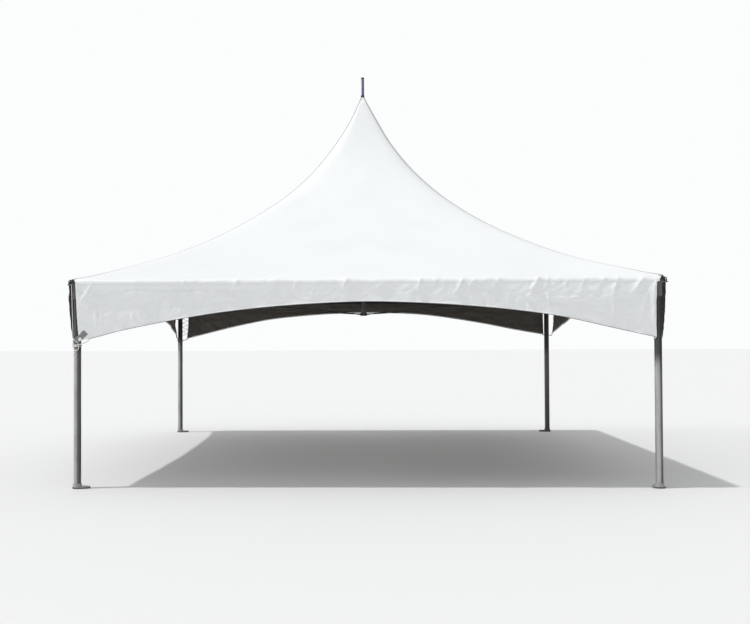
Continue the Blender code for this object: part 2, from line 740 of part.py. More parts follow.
empty_scene()
PARTS = new_collection("marquee_tent")
CUTTERS = new_collection("cutters")
VINYL = material("white_vinyl", (0.86, 0.88, 0.89), 0.45)
ALUMINIUM = material("mill_aluminium", (0.62, 0.63, 0.62), 0.42, 1.0)
STEEL = material("galvanised_steel", (0.32, 0.33, 0.34), 0.5, 1.0)
GALVANISED = material("wire_rope", (0.22, 0.22, 0.21), 0.55, 1.0)
PAINTED_TIP = material("blue_tip", (0.10, 0.12, 0.24), 0.4, 0.3)
BLACK_PLASTIC = material("black_plastic", (0.02, 0.02, 0.02), 0.5)
CORD = material("white_cord", (0.75, 0.74, 0.70), 0.8)
WEBBING = material("grey_webbing", (0.30, 0.31, 0.31), 0.8)
build()
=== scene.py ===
# %% [markdown]
# A high peak marquee tent, dressed in Blender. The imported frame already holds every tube, fitting
# and cable at its true size, with the cloth as plain solids. This notebook loads that frame and
# makes what shows: one sheet of white vinyl pulled up to a peak, its arched skirts, the round
# tubes, and the cords that tie the skirts to the legs.

# %% Load the frame
import random
from math import acos, atan, atan2, cos, exp, hypot, pi, radians, sin, sqrt, tan

import bmesh
import bpy
from mathutils import Matrix, Vector, noise
from mathutils.geometry import interpolate_bezier


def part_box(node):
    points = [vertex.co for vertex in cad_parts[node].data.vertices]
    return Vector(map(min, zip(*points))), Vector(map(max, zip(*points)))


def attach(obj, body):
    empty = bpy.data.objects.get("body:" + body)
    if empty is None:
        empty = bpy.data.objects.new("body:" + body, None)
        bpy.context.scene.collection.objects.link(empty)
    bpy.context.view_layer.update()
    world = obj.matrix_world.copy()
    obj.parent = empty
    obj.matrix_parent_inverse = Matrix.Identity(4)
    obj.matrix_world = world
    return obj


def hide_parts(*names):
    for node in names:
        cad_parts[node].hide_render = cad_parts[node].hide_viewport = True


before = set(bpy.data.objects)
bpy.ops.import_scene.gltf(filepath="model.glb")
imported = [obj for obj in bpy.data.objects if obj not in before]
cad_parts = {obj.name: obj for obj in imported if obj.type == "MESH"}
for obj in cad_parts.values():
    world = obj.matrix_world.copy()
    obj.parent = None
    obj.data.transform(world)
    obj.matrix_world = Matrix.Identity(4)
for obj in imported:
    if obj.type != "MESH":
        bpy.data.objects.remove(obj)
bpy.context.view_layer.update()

# %% [markdown]
# A box round a tube gives its axis and its radius. Only what a box can't say, such as how the cloth
# curves between the peak and the eave, is written here as a number.

# %% Measure the frame
LEG_LOW, LEG_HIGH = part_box("leg_front_right")
LEG_AXIS = (LEG_LOW.x + LEG_HIGH.x) / 2
LEG_RADIUS = (LEG_HIGH.x - LEG_LOW.x) / 2
RAIL_LOW, RAIL_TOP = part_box("eave_rail_front")
RAIL_AXIS = -(RAIL_LOW.y + RAIL_TOP.y) / 2
RAIL_HEIGHT = (RAIL_LOW.z + RAIL_TOP.z) / 2
RAIL_RADIUS = (RAIL_TOP.z - RAIL_LOW.z) / 2
RAIL_END = RAIL_TOP.x
TUBE_WALL = 0.0032
GAP = 0.0003
PANEL_LOW, PANEL_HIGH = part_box("roof_panel_front")
EAVE_HALF = -PANEL_LOW.y - GAP
PEAK_HEIGHT = PANEL_HIGH.z
CORNER_SIGNS = {"front_left": (-1, -1), "front_right": (1, -1), "back_left": (-1, 1), "back_right": (1, 1)}
SIDE_TURNS = {"front": 0, "right": 90, "back": 180, "left": 270}
print("legs at", round(LEG_AXIS, 4), "eave at", round(EAVE_HALF, 4), "peak at", round(PEAK_HEIGHT, 4))

# %% [markdown]
# The camera stands in front, a little left of the middle, at eye height. Its place came from
# matching the feet, the eave and the peak. The small shift frames the tent without tilting it.

# %% Camera
CAMERA_PLACE = Vector((-0.0869, -13.102, 1.556))
CAMERA_YAW = radians(-1.41)
CAMERA_PITCH = radians(1.13)
CAMERA_ROLL = radians(-0.24)
CAMERA_LENS = 47.57
CAMERA_SHIFT = (0.0564, 0.0052)


def make_camera():
    """The photograph's camera: right, up and backwards are the columns of its turn."""
    ahead = Vector((sin(CAMERA_YAW) * cos(CAMERA_PITCH), cos(CAMERA_YAW) * cos(CAMERA_PITCH),
                    sin(CAMERA_PITCH)))
    level = Vector((cos(CAMERA_YAW), -sin(CAMERA_YAW), 0))
    upright = level.cross(ahead)
    right = cos(CAMERA_ROLL) * level + sin(CAMERA_ROLL) * upright
    upwards = -sin(CAMERA_ROLL) * level + cos(CAMERA_ROLL) * upright
    camera = bpy.data.objects.new("camera", bpy.data.cameras.new("camera"))
    camera.data.lens = CAMERA_LENS
    camera.data.sensor_width = 36
    camera.data.shift_x, camera.data.shift_y = CAMERA_SHIFT
    turn = Matrix((right, upwards, -ahead)).transposed().to_4x4()
    camera.matrix_world = Matrix.Translation(CAMERA_PLACE) @ turn
    bpy.context.scene.collection.objects.link(camera)
    bpy.context.scene.camera = camera
    return camera


print("camera at", tuple(make_camera().location))

# %% [markdown]
# A finish is a node tree, and its patterns are easier to read as sums than as wires. So a small
# class wraps one output socket, and adding or multiplying it adds a Math node. Every other node
# comes from one method, which takes the node's type, its settings and what goes into its sockets.


# %% Node helper
class Value:
    """One output of a node. Sums and products of values add Math nodes."""

    def __init__(self, tree, socket):
        self.tree = tree
        self.socket = socket

    def math(self, operation, *others):
        return self.tree.node("ShaderNodeMath", {"operation": operation}, dict(enumerate((self, *others))))

    def __add__(self, other):
        return self.math("ADD", other)

    def __sub__(self, other):
        return self.math("SUBTRACT", other)

    def __mul__(self, other):
        return self.math("MULTIPLY", other)

    def __rsub__(self, other):
        return (self * -1).math("ADD", other)

class Tree:
    """A node tree with short ways to add the nodes that the tent's finishes use."""

    def __init__(self, tree):
        self.tree = tree

    def node(self, kind, settings=None, sockets=None, output=0):
        made = self.tree.nodes.new(kind)
        for name, value in (settings or {}).items():
            setattr(made, name, value)
        for name, value in (sockets or {}).items():
            self.feed(made.inputs[name], value)
        return Value(self, made.outputs[output])

    def feed(self, socket, value):
        if isinstance(value, Value):
            self.tree.links.new(value.socket, socket)
        else:
            socket.default_value = value

    def noise(self, place, scale, detail=3.0, roughness=0.5):
        return self.node("ShaderNodeTexNoise", {}, {
            "Vector": place, "Scale": scale, "Detail": detail, "Roughness": roughness})

    def ramp(self, value, low, high):
        """0 below low, 1 above high, and smooth between."""
        return self.node("ShaderNodeMapRange", {"interpolation_type": "SMOOTHSTEP"}, {
            "Value": value, "From Min": low, "From Max": high})

    def split(self, vector):
        """The three parts of a vector."""
        parts = self.tree.nodes.new("ShaderNodeSeparateXYZ")
        self.feed(parts.inputs[0], vector)
        return [Value(self, socket) for socket in parts.outputs]

    def mix(self, share, first, second):
        return self.node("ShaderNodeMix", {"data_type": "RGBA"}, {0: share, 6: first, 7: second}, 2)


class Finish(Tree):
    """A material: what is the same all over is set on the shader, and patterns are wired to it."""

    def __init__(self, name, plain):
        self.material = bpy.data.materials.new(name)
        self.material.use_nodes = True
        super().__init__(self.material.node_tree)
        self.shader = self.tree.nodes["Principled BSDF"]
        for socket, value in plain.items():
            self.shader.inputs[socket].default_value = value

    def place(self, scale=(1, 1, 1)):
        """Object coordinates, stretched along the axes."""
        where = self.node("ShaderNodeTexCoord", output="Object")
        return self.node("ShaderNodeMapping", {}, {"Vector": where, "Scale": scale})

    def height(self):
        """Height above the ground."""
        return self.split(self.place())[2]

    def facing(self, axis):
        """How far the surface looks along an axis, from -1 to 1."""
        return self.split(self.node("ShaderNodeTexCoord", output="Normal"))[axis]

    def surface(self):
        """The piece's own UV map in metres, as across and down."""
        where = self.node("ShaderNodeUVMap", {"uv_map": "surface"})
        across, down, _ = self.split(where)
        return where, across, down

    def finished(self, colour, rough, height, distance):
        """Wire up the colour, the roughness, and a bump whose distance is in metres."""
        normal = self.node("ShaderNodeBump", {}, {"Height": height, "Distance": distance})
        for name, value in {"Base Color": colour, "Roughness": rough, "Normal": normal}.items():
            self.feed(self.shader.inputs[name], value)
        return self.material


print("node helper ready")

# %% [markdown]
# The sky is nearly white round the horizon and greyer above, so the backdrop stays clean while the
# roof keeps its shading. A high sun lights the roof's left flank, and a low soft one rakes across
# the front from the left, so that tubes look round and every fold has a bright side.

# %% Studio
SKY_LOW = 0.985
SKY_HIGH = 0.53
SKY_LEFT = 0.06
SKY_RIGHT = -0.50
SKY_FRONT = -0.29
SKY_ZENITH = 0.24
SKY_COLOUR = (0.985, 0.995, 1.0, 1)
# where each part of the sky starts and where it is at its full strength
LEFT_BAND = (-0.45, -1.0)
RIGHT_BAND = (0.45, 1.0)
HIGH_BAND = (0.34, 0.60)
FRONT_BAND = (-0.2, -0.9)
ZENITH_BAND = (0.75, 1.0)
# elevation, turn towards the front, strength, and width in degrees
SUNS = {"sun": (70, 10, 1.50, 2), "side_light": (20, 5, 0.64, 18)}
FLOOR_SIZE = 90
FLOOR_DROP = 0.0005


def make_sky():
    """A pale sky: near white round the horizon, greyer above, brighter on the left and overhead."""
    world = bpy.data.worlds.new("studio")
    bpy.context.scene.world = world
    world.use_nodes = True
    tree = Tree(world.node_tree)
    ahead = tree.node("ShaderNodeTexCoord", output="Generated")
    sideways, forwards, upwards = tree.split(ahead)
    left = tree.ramp(sideways, *LEFT_BAND)
    right = tree.ramp(sideways, *RIGHT_BAND)
    above = tree.ramp(upwards, *HIGH_BAND)
    behind_camera = tree.ramp(forwards, *FRONT_BAND)
    zenith = tree.ramp(upwards, *ZENITH_BAND)
    low = right * SKY_RIGHT + behind_camera * SKY_FRONT + (SKY_LOW - SKY_HIGH)
    strength = low * (1 - above) + left * SKY_LEFT + zenith * SKY_ZENITH + SKY_HIGH
    background = world.node_tree.nodes["Background"]
    background.inputs["Color"].default_value = SKY_COLOUR
    tree.feed(background.inputs["Strength"], strength)


def make_sun(name, elevation, turn, strength, width):
    """A distant light from the left, turned a little towards the front."""
    sun = bpy.data.objects.new(name, bpy.data.lights.new(name, "SUN"))
    sun.data.energy = strength
    sun.data.angle = radians(width)
    source = Vector((-cos(radians(turn)), -sin(radians(turn)), tan(radians(elevation))))
    sun.rotation_euler = source.to_track_quat("Z", "Y").to_euler()
    bpy.context.scene.collection.objects.link(sun)


def make_floor():
    """A wide plain floor."""
    bm = bmesh.new()
    bmesh.ops.create_grid(bm, x_segments=1, y_segments=1, size=FLOOR_SIZE,
                          matrix=Matrix.Translation((0, 0, -FLOOR_DROP)))
    mesh = bpy.data.meshes.new("floor")
    bm.to_mesh(mesh)
    bm.free()
    floor = bpy.data.objects.new("floor", mesh)
    pale = Finish("pale_floor", {"Base Color": (0.78, 0.78, 0.78, 1), "Roughness": 0.9})
    mesh.materials.append(pale.material)
    bpy.context.scene.collection.objects.link(floor)


bpy.context.scene.view_settings.view_transform = "Standard"
make_sky()
for name, light in SUNS.items():
    make_sun(name, *light)
make_floor()
print("studio lit by", list(SUNS))

# %% [markdown]
# The vinyl is a woven scrim between two white films, faintly mottled where it was handled and
# rained on. The pattern follows the UV map, which is in metres, so the weave keeps its true pitch.

# %% Vinyl finishes
WEAVE_PITCH = 0.0016
WEAVE_BUMP = 0.0002
SEAM_HALF = 0.018
SEAM_EDGE = 0.003
SEAM_FLARE = 0.6
SEAM_CORNER = RAIL_HEIGHT + RAIL_RADIUS
SEAM_CORNER_HIGH = 0.45


def weave(finish, across, down):
    """Two crossed waves, one thread apart."""
    turns = 2 * pi / WEAVE_PITCH
    return (across * turns).math("SINE") * (down * turns).math("SINE")


def make_vinyl(name, shaded_underside=False, seam=False):
    """The outer face: cool white, soft sheen, faint mottling. A hem has painted shade on its underside,
    and the welded seams are a dark grey band, where the first UV value is the distance from the seam.
    They widen towards the corners, which are reinforced."""
    finish = Finish(name, {"Specular IOR Level": 0.4})
    where, across, down = finish.surface()
    clouds = finish.noise(where, 1.3, 4)
    stains = finish.noise(where, 7.0, 6, 0.62)
    grime = finish.ramp(stains, 0.56, 0.78) * 0.5 + finish.ramp(clouds, 0.45, 0.8) * 0.5
    white = finish.mix(grime, (0.862, 0.882, 0.890, 1), (0.80, 0.818, 0.82, 1))
    if shaded_underside:
        # painted shade: faces that look downwards are darkened
        white = finish.mix(finish.ramp(finish.facing(2), -0.1, -0.75), white, (0.13, 0.135, 0.135, 1))
    height = weave(finish, across, down) * 0.5 + finish.noise(where, 90, 2) * 0.6
    if seam:
        low = 1 - finish.ramp(finish.height(), SEAM_CORNER, SEAM_CORNER + SEAM_CORNER_HIGH)
        off = finish.ramp(across * (1 - low * SEAM_FLARE), SEAM_HALF, SEAM_HALF + SEAM_EDGE)
        # the welded seams are drawn as a dark grey band
        white = finish.mix(off, (0.44, 0.45, 0.452, 1), white)
        height = height - off * 2.5
    return finish.finished(white, stains * 0.16 + 0.34, height, WEAVE_BUMP)


def make_shaded_lining():
    """The inner face: painted near black as the shade inside the tent, dull, with faint mottling."""
    finish = Finish("vinyl_inside_painted_shade", {"Specular IOR Level": 0.3})
    where, across, down = finish.surface()
    clouds = finish.noise(where, 2.1, 5, 0.6)
    # painted shade: a near black colour stands for the dark inside of the tent
    dark = finish.mix(clouds, (0.075, 0.069, 0.059, 1), (0.125, 0.113, 0.098, 1))
    return finish.finished(dark, clouds * 0.2 + 0.5, weave(finish, across, down), WEAVE_BUMP)


VINYL = make_vinyl("white_vinyl_outside")
ROOF_VINYL = make_vinyl("white_vinyl_roof", seam=True)
HEM_VINYL = make_vinyl("white_vinyl_hem", shaded_underside=True)
SHADE_DARK_LINING = make_shaded_lining()
print("vinyl finishes", VINYL.name, SHADE_DARK_LINING.name)

# %% [markdown]
# The legs and rails are drawn aluminium, left bare. Drawing leaves fine lines along the tube, so the
# noise is stretched along its axis, with one finish for each direction in which a tube can run. The
# rails are painted near black, and the legs darker on their right sides and tops, as painted shade.

# %% Metal finishes
DRAWN = 520
ALONG = 4
# painted shade: the rails (X and Y) are near black, as rails in the roof's shadow
TUBE_GREYS_AND_RAIL_SHADE = {"X": (0.025, 0.017), "Y": (0.025, 0.017), "Z": (0.44, 0.33)}
# from where to where, in metres or by the way a face looks, and how strongly
SHADE_SIDE = (-0.25, 0.50)
SHADE_SIDE_SHARE = 0.85
RIGHT = (1.0, 2.9)
SHADE_LOWER_ON_RIGHT = 0.15
SHADED_TOP = (1.36, 1.55)
SHADED_TOP_SHARE = 0.88
SHADED_CORNER = (4, 5)
SHADED_CORNER_SHARE = 0.8
LOW_DARK_BAND = (0.014, 0.026)
LOW_DARK_SHARE = 0.85


def shaded_corner(finish):
    """Painted shade on the back right leg and foot, which stand in the tent's shadow all over."""
    sideways, back, _ = finish.split(finish.place())
    return finish.ramp(sideways + back, *SHADED_CORNER) * SHADED_CORNER_SHARE


def make_aluminium(axis, pale, dark):
    """Bare drawn tube, oxidised to a dull grey, with its lines along the axis. An upright tube has painted
    shade on its right side, and more at its top, in the roof's shadow. On the right legs the painted
    shade at the top reaches further down."""
    scale = [DRAWN, DRAWN, DRAWN]
    scale["XYZ".index(axis)] = ALONG
    finish = Finish(f"aluminium_with_painted_shade_{axis.lower()}", {"Metallic": 0.75})
    lines = finish.noise(finish.place(scale), 1.0, 2)
    smudges = finish.noise(finish.place((9, 9, 3)), 1.0, 6, 0.65)
    dull = finish.ramp(smudges, 0.42, 0.66)
    base = finish.mix(dull, (pale, pale, pale, 1), (dark, dark, dark * 0.98, 1))
    colour = finish.mix(lines * 0.4, base, (pale * 1.3, pale * 1.32, pale * 1.33, 1))
    if axis == "Z":
        # painted shade: an upright tube is darkened on its right side and at its top, lower down on the
        # right
        shaded_side = finish.ramp(finish.facing(0), *SHADE_SIDE)
        right = finish.ramp(finish.split(finish.place())[0], *RIGHT)
        top = finish.ramp(finish.height() + smudges * 0.04 + right * SHADE_LOWER_ON_RIGHT, *SHADED_TOP)
        colour = finish.mix(shaded_side * SHADE_SIDE_SHARE, colour, (0.050, 0.050, 0.049, 1))
        colour = finish.mix(shaded_corner(finish), colour, (0.030, 0.030, 0.029, 1))
        colour = finish.mix(top * SHADED_TOP_SHARE, colour, (0.032, 0.032, 0.031, 1))
    return finish.finished(colour, lines * 0.12 + dull * 0.1 + 0.24, lines, 0.0001)


def make_steel(name, pale, dark, rusty, darker_low=False):
    """Dull zinc: pale and dark spangles and rust in the low spots. A foot is darker towards the bottom,
    and the back right foot has painted shade.
    """
    finish = Finish(name, {"Metallic": 0.4})
    where = finish.place()
    spangle = finish.node("ShaderNodeTexVoronoi", {}, {"Vector": where, "Scale": 140}, "Color")
    grey = finish.node("ShaderNodeSeparateColor", {}, {"Color": spangle})
    stains = finish.noise(where, 22, 6, 0.7)
    rust = finish.ramp(stains, 0.62, 0.74)
    zinc = finish.mix(grey, (dark, dark, dark, 1), (pale, pale, pale * 1.02, 1))
    colour = finish.mix(rust * rusty, zinc, (0.11, 0.065, 0.04, 1))
    if darker_low:
        # darker towards the bottom of the foot
        low = 1 - finish.ramp(finish.height() + stains * 0.01, *LOW_DARK_BAND)
        colour = finish.mix(low * LOW_DARK_SHARE, colour, (0.055, 0.05, 0.042, 1))
        colour = finish.mix(shaded_corner(finish), colour, (0.030, 0.029, 0.027, 1))
    return finish.finished(colour, grey * 0.15 + rust * 0.3 + 0.42, grey * 0.2 + stains, 0.0008)


def make_wire():
    """Weathered wire rope, dark with a brown bloom."""
    finish = Finish("weathered_wire", {"Metallic": 0.6})
    where = finish.place()
    bloom = finish.ramp(finish.noise(where, 35, 5, 0.7), 0.4, 0.65)
    colour = finish.mix(bloom, (0.035, 0.031, 0.028, 1), (0.05, 0.026, 0.018, 1))
    return finish.finished(colour, bloom * 0.25 + 0.45, finish.noise(where, 900, 2), 0.0003)


ALUMINIUM = {axis: make_aluminium(axis, *greys) for axis, greys in TUBE_GREYS_AND_RAIL_SHADE.items()}
STEEL = make_steel("dull_galvanised_steel", 0.15, 0.09, 0.7)
CAST = make_steel("cast_galvanised_steel", 0.40, 0.30, 0.35, darker_low=True)
DARK_STEEL = make_steel("blackened_steel", 0.035, 0.02, 0.3)
WIRE = make_wire()
print("metal finishes", [item.name for item in (*ALUMINIUM.values(), STEEL, CAST, DARK_STEEL, WIRE)])

# %% [markdown]
# The small parts have finishes of their own: slate paint on the mast's tip that turns violet
# lower down, black plastic caps, white braided cord and grey webbing. Braid and webbing follow the
# UV map, so the pattern winds round the cord instead of cutting through it.

# %% Paint, plastic, cord and webbing
TIP_LOW, TIP_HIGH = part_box("mast_tip")
VIOLET_BELOW = (PEAK_HEIGHT + 0.06, PEAK_HEIGHT + 0.16)
BRAID_PITCH = 0.009
BRAID_PAIRS = 4
RIB_PITCH = 0.0022


def make_tip_paint():
    """Slate blue paint above, violet below, with a painted highlight on its left side and chips to the
    metal.
    """
    finish = Finish("slate_blue_paint", {"Metallic": 0.25, "Coat Weight": 1, "Coat Roughness": 0.3})
    low = 1 - finish.ramp(finish.height(), *VIOLET_BELOW)
    spots = finish.noise(finish.place(), 260, 4, 0.6)
    paint = finish.mix(low, (0.09, 0.12, 0.20, 1), (0.11, 0.075, 0.23, 1))
    # painted highlight: faces that look left are lightened
    painted_highlight = finish.ramp(finish.facing(0), -0.25, -0.75)
    paint = finish.mix(painted_highlight * 0.8, paint, (0.33, 0.37, 0.47, 1))
    paint = finish.mix(finish.ramp(spots, 0.66, 0.72), paint, (0.3, 0.31, 0.33, 1))
    return finish.finished(paint, spots * 0.2 + 0.28, spots, 0.0002)


def make_black():
    """Moulded plastic with a fine grain, greyed by the sun."""
    finish = Finish("black_plastic", {})
    where = finish.place()
    grain = finish.noise(where, 900, 2)
    bleach = finish.ramp(finish.noise(where, 60, 3), 0.4, 0.7)
    black = finish.mix(bleach, (0.018, 0.018, 0.02, 1), (0.04, 0.04, 0.042, 1))
    return finish.finished(black, grain * 0.2 + 0.4, grain, 0.0002)


def make_braid(name, clean, dirty, grooves):
    """Polyester cord: strands wound both ways, darker in the grooves."""
    finish = Finish(name, {"Specular IOR Level": 0.3})
    _, around, along = finish.surface()
    turned = around * (2 * pi * BRAID_PAIRS)
    run = along * (2 * pi / BRAID_PITCH)
    strands = (turned + run).math("SINE").math("MAXIMUM", (turned - run).math("SINE"))
    groove = 1 - finish.ramp(strands, -0.5, 0.4)
    dirt = finish.ramp(finish.noise(finish.place(), 30, 4), 0.45, 0.7)
    colour = finish.mix(groove * 0.4, finish.mix(dirt, clean, dirty), grooves)
    return finish.finished(colour, groove * 0.1 + 0.75, strands, 0.0008)


def make_webbing():
    """Grey polyester webbing with ribs across."""
    finish = Finish("grey_webbing", {"Specular IOR Level": 0.25})
    where, across, along = finish.surface()
    ribs = (along * (2 * pi / RIB_PITCH)).math("SINE") * (across * (4 * pi / RIB_PITCH)).math("SINE")
    fluff = finish.noise(where, 160, 3)
    grey = finish.mix(fluff, (0.20, 0.205, 0.205, 1), (0.36, 0.365, 0.36, 1))
    return finish.finished(grey, fluff * 0.15 + 0.7, ribs, 0.0006)


TIP_PAINT = make_tip_paint()
BLACK = make_black()
BRAID = make_braid("white_braided_cord", (0.90, 0.895, 0.87, 1), (0.80, 0.785, 0.74, 1),
                   (0.50, 0.49, 0.46, 1))
# painted shade: the back cords, in the tent's shadow, get a dark brown finish
SHADE_DARK_BRAID = make_braid("braided_cord_painted_shade", (0.20, 0.17, 0.14, 1), (0.11, 0.085, 0.07, 1),
                       (0.05, 0.04, 0.035, 1))
WEBBING = make_webbing()
print("small finishes", [item.name for item in (TIP_PAINT, BLACK, BRAID, SHADE_DARK_BRAID, WEBBING)])

# %% [markdown]
# Three ways of making shapes do nearly all of the work. A turned part is a profile spun about Z.
# A sheet is a flat grid whose points are moved onto the real surface, which keeps one even mesh
# and gives the UV map for nothing. A bar, cord or cable is the same grid wrapped round a path.


# %% Shape helpers
WELD = 0.00001
TURN_STEPS = 64


def leg_axis(corner, height=0):
    """A point on the axis of a corner's leg."""
    sign_x, sign_y = CORNER_SIGNS[corner]
    return Vector((sign_x * LEG_AXIS, sign_y * LEG_AXIS, height))


def new_surface():
    """An empty bmesh with the UV map that the patterns follow."""
    bm = bmesh.new()
    bm.loops.layers.uv.new("surface")
    return bm


def added(bm, before):
    """The vertices that were added since."""
    return [vert for vert in bm.verts if vert not in before]


def edges_at(verts):
    """The edges at these vertices, each once and always in the same order."""
    return list(dict.fromkeys(edge for vert in verts for edge in vert.link_edges))


def face_outwards(bm, outwards):
    """Turn the faces of an open sheet the given way, and give its area."""
    if sum(face.normal.dot(outwards) * face.calc_area() for face in bm.faces) < 0:
        bmesh.ops.reverse_faces(bm, faces=bm.faces)
    return sum(face.calc_area() for face in bm.faces)


def add_turned(bm, profile, place=Matrix(), steps=TURN_STEPS, closed=True):
    """A profile of (reach, height) points spun about Z. An open one starts and ends on the axis."""
    before = set(bm.verts)
    points = [bm.verts.new((reach, 0, height)) for reach, height in profile]
    following = points[1:] + points[:1] if closed else points[1:]
    edges = [bm.edges.new(pair) for pair in zip(points, following)]
    bmesh.ops.spin(bm, geom=points + edges, axis=(0, 0, 1), angle=2 * pi, steps=steps, use_merge=True)
    bmesh.ops.remove_doubles(bm, verts=added(bm, before), dist=WELD)
    bmesh.ops.transform(bm, matrix=place, verts=added(bm, before))


def add_mapped(bm, columns, rows, place, unroll):
    """A grid moved onto a surface. place and unroll take across and down, both from 0 to 1."""
    layer = bm.loops.layers.uv.get("surface")
    verts = bmesh.ops.create_grid(bm, x_segments=columns, y_segments=rows, size=0.5)["verts"]
    for vert in verts:
        for loop in vert.link_loops:
            loop[layer].uv = unroll(vert.co.x + 0.5, 0.5 - vert.co.y)
    for vert in verts:
        vert.co = place(vert.co.x + 0.5, 0.5 - vert.co.y)
    return verts


def path_frames(path):
    """A point and two level directions across the path, at each of its points."""
    frames = []
    side = None
    for index, point in enumerate(path):
        ahead = (path[min(index + 1, len(path) - 1)] - path[max(index - 1, 0)]).normalized()
        side = ahead.orthogonal() if side is None else side - side.dot(ahead) * ahead
        side.normalize()
        frames.append((point, side.copy(), ahead.cross(side)))
    return frames


def add_swept(bm, path, radius, sides=12, section=None):
    """A round bar along a path, with closed ends. section scales its radius by angle and run."""
    before = set(bm.verts)
    frames = path_frames(path)
    runs = [0.0]
    for start, end in zip(path, path[1:]):
        runs.append(runs[-1] + (end - start).length)
    last = len(path) - 1

    def place(around, along):
        index = round(along * last)
        point, side, other = frames[index]
        angle = 2 * pi * around
        reach = radius * (section(angle, runs[index]) if section else 1)
        return point + (side * cos(angle) + other * sin(angle)) * reach

    add_mapped(bm, sides, last, place, lambda around, along: (around, runs[round(along * last)]))
    bmesh.ops.remove_doubles(bm, verts=added(bm, before), dist=WELD)
    rims = [edge for edge in edges_at(added(bm, before)) if edge.is_boundary]
    bmesh.ops.holes_fill(bm, edges=rims)
    return runs[-1]


def smooth_path(points, spacing):
    """Points along a smooth curve through the given ones, about so far apart."""
    ways = [(end - start).normalized() for start, end in zip(points, points[1:])]
    tangents = [(before + after).normalized()
                for before, after in zip(ways[:1] + ways, ways + ways[-1:])]
    path = [points[0]]
    for index, (start, end) in enumerate(zip(points, points[1:])):
        length = (end - start).length
        steps = max(round(length / spacing), 1) + 1
        path += interpolate_bezier(start, start + tangents[index] * length / 3,
                                   end - tangents[index + 1] * length / 3, end, steps)[1:]
    return path


def make_piece(bm, name, finish, stands_for=(), smooth=35, solid=True):
    """Turn a bmesh into a piece that rides on the tent's one body."""
    if solid:
        bmesh.ops.recalc_face_normals(bm, faces=bm.faces)
    mesh = bpy.data.meshes.new(name)
    bm.to_mesh(mesh)
    bm.free()
    mesh.shade_smooth()
    mesh.set_sharp_from_angle(angle=radians(smooth))
    mesh.materials.append(finish)
    piece = bpy.data.objects.new(name, mesh)
    bpy.context.scene.collection.objects.link(piece)
    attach(piece, "root")
    if stands_for:
        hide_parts(*stands_for)
    return piece


def rounded(outline, radius, steps=3):
    """A closed outline with its corners cut round, for a profile that is spun."""
    result = []
    for before, corner, after in zip(outline[-1:] + outline, outline, outline[1:] + outline[:1]):
        here = Vector(corner)
        start = here + (Vector(before) - here).normalized() * radius
        end = here + (Vector(after) - here).normalized() * radius
        for step in range(steps + 1):
            share = step / steps
            result.append(tuple(start.lerp(here, share).lerp(here.lerp(end, share), share)))
    return result


def make_bar(name, path, radius, sides, finish, nodes=(), smooth=60):
    """A piece that is one swept bar or cord, and its length."""
    bm = new_surface()
    length = add_swept(bm, path, radius, sides)
    return make_piece(bm, name, finish, nodes, smooth=smooth), length


print("shape helpers ready")

# %% [markdown]
# The top is one sheet of vinyl. From the peak it falls steeply, curls out, and reaches the eave at
# a gentle slope, because the cloth is pulled down at the rails and up at the mast. Sliced level it
# is round at the peak and square at the eave. Two formulas say that, so the sheet is a grid moved
# onto them, and not a sculpted block.

# %% The roof's surface
EAVE_SLOPE = radians(16)
ROUND_REACH = EAVE_HALF - RAIL_AXIS
SHEET_HALF = RAIL_AXIS + ROUND_REACH * sin(EAVE_SLOPE)
SHEET_LOW = RAIL_HEIGHT + ROUND_REACH * cos(EAVE_SLOPE)
PEAK_RADIUS = 0.0255
ROOF_CURL = 4.04
ROOF_CURL_SHARE = 0.50
ROOF_FLARE = 1.228
ROUNDNESS = 0.15
CORNER_CUT = 6.013
LARGEST_POWER = 400
UPPER_ROWS = 24
UPPER_PACKING = 1.3
LOWER_ROWS = 18
LOWER_REACH = 0.30
RAIL_ROWS = 8
LAP = 0.012


def roof_height(half):
    """Height of the roof where its level slice is half as wide as twice this value."""
    share = half / SHEET_HALF
    start = PEAK_RADIUS / SHEET_HALF
    lowest = exp(-ROOF_CURL)
    curl = (exp(-ROOF_CURL * share) - lowest) / (exp(-ROOF_CURL * start) - lowest)
    flare = (max(1 - share, 0) / (1 - start)) ** ROOF_FLARE
    share_up = ROOF_CURL_SHARE * curl + (1 - ROOF_CURL_SHARE) * flare
    return SHEET_LOW + (PEAK_HEIGHT - SHEET_LOW) * share_up


def slice_reach(angle, half):
    """How far a level slice reaches at this angle: a circle at the peak, a square at the eave."""
    share = min((half - PEAK_RADIUS) / (SHEET_HALF - PEAK_RADIUS), 1)
    power = 2 / max(1 - share ** ROUNDNESS, 1 / LARGEST_POWER)
    if power > LARGEST_POWER:
        return 1 / cos(angle)
    return (cos(angle) ** power + abs(sin(angle)) ** power) ** (-1 / power)


def roof_rows():
    """Half width and height of each row, from the peak down over the rail, finer near the eave."""
    halves = [PEAK_RADIUS + (SHEET_HALF - LOWER_REACH - PEAK_RADIUS) * (row / UPPER_ROWS) ** UPPER_PACKING
              for row in range(UPPER_ROWS)]
    halves += [SHEET_HALF - LOWER_REACH * (1 - row / LOWER_ROWS) for row in range(LOWER_ROWS + 1)]
    rows = [(half, roof_height(half)) for half in halves]
    for row in range(1, RAIL_ROWS + 1):
        turn = EAVE_SLOPE + (pi / 2 - EAVE_SLOPE) * row / RAIL_ROWS
        rows.append((RAIL_AXIS + ROUND_REACH * sin(turn), RAIL_HEIGHT + ROUND_REACH * cos(turn)))
    return rows + [(EAVE_HALF, RAIL_HEIGHT - LAP * step) for step in (0.5, 1)]


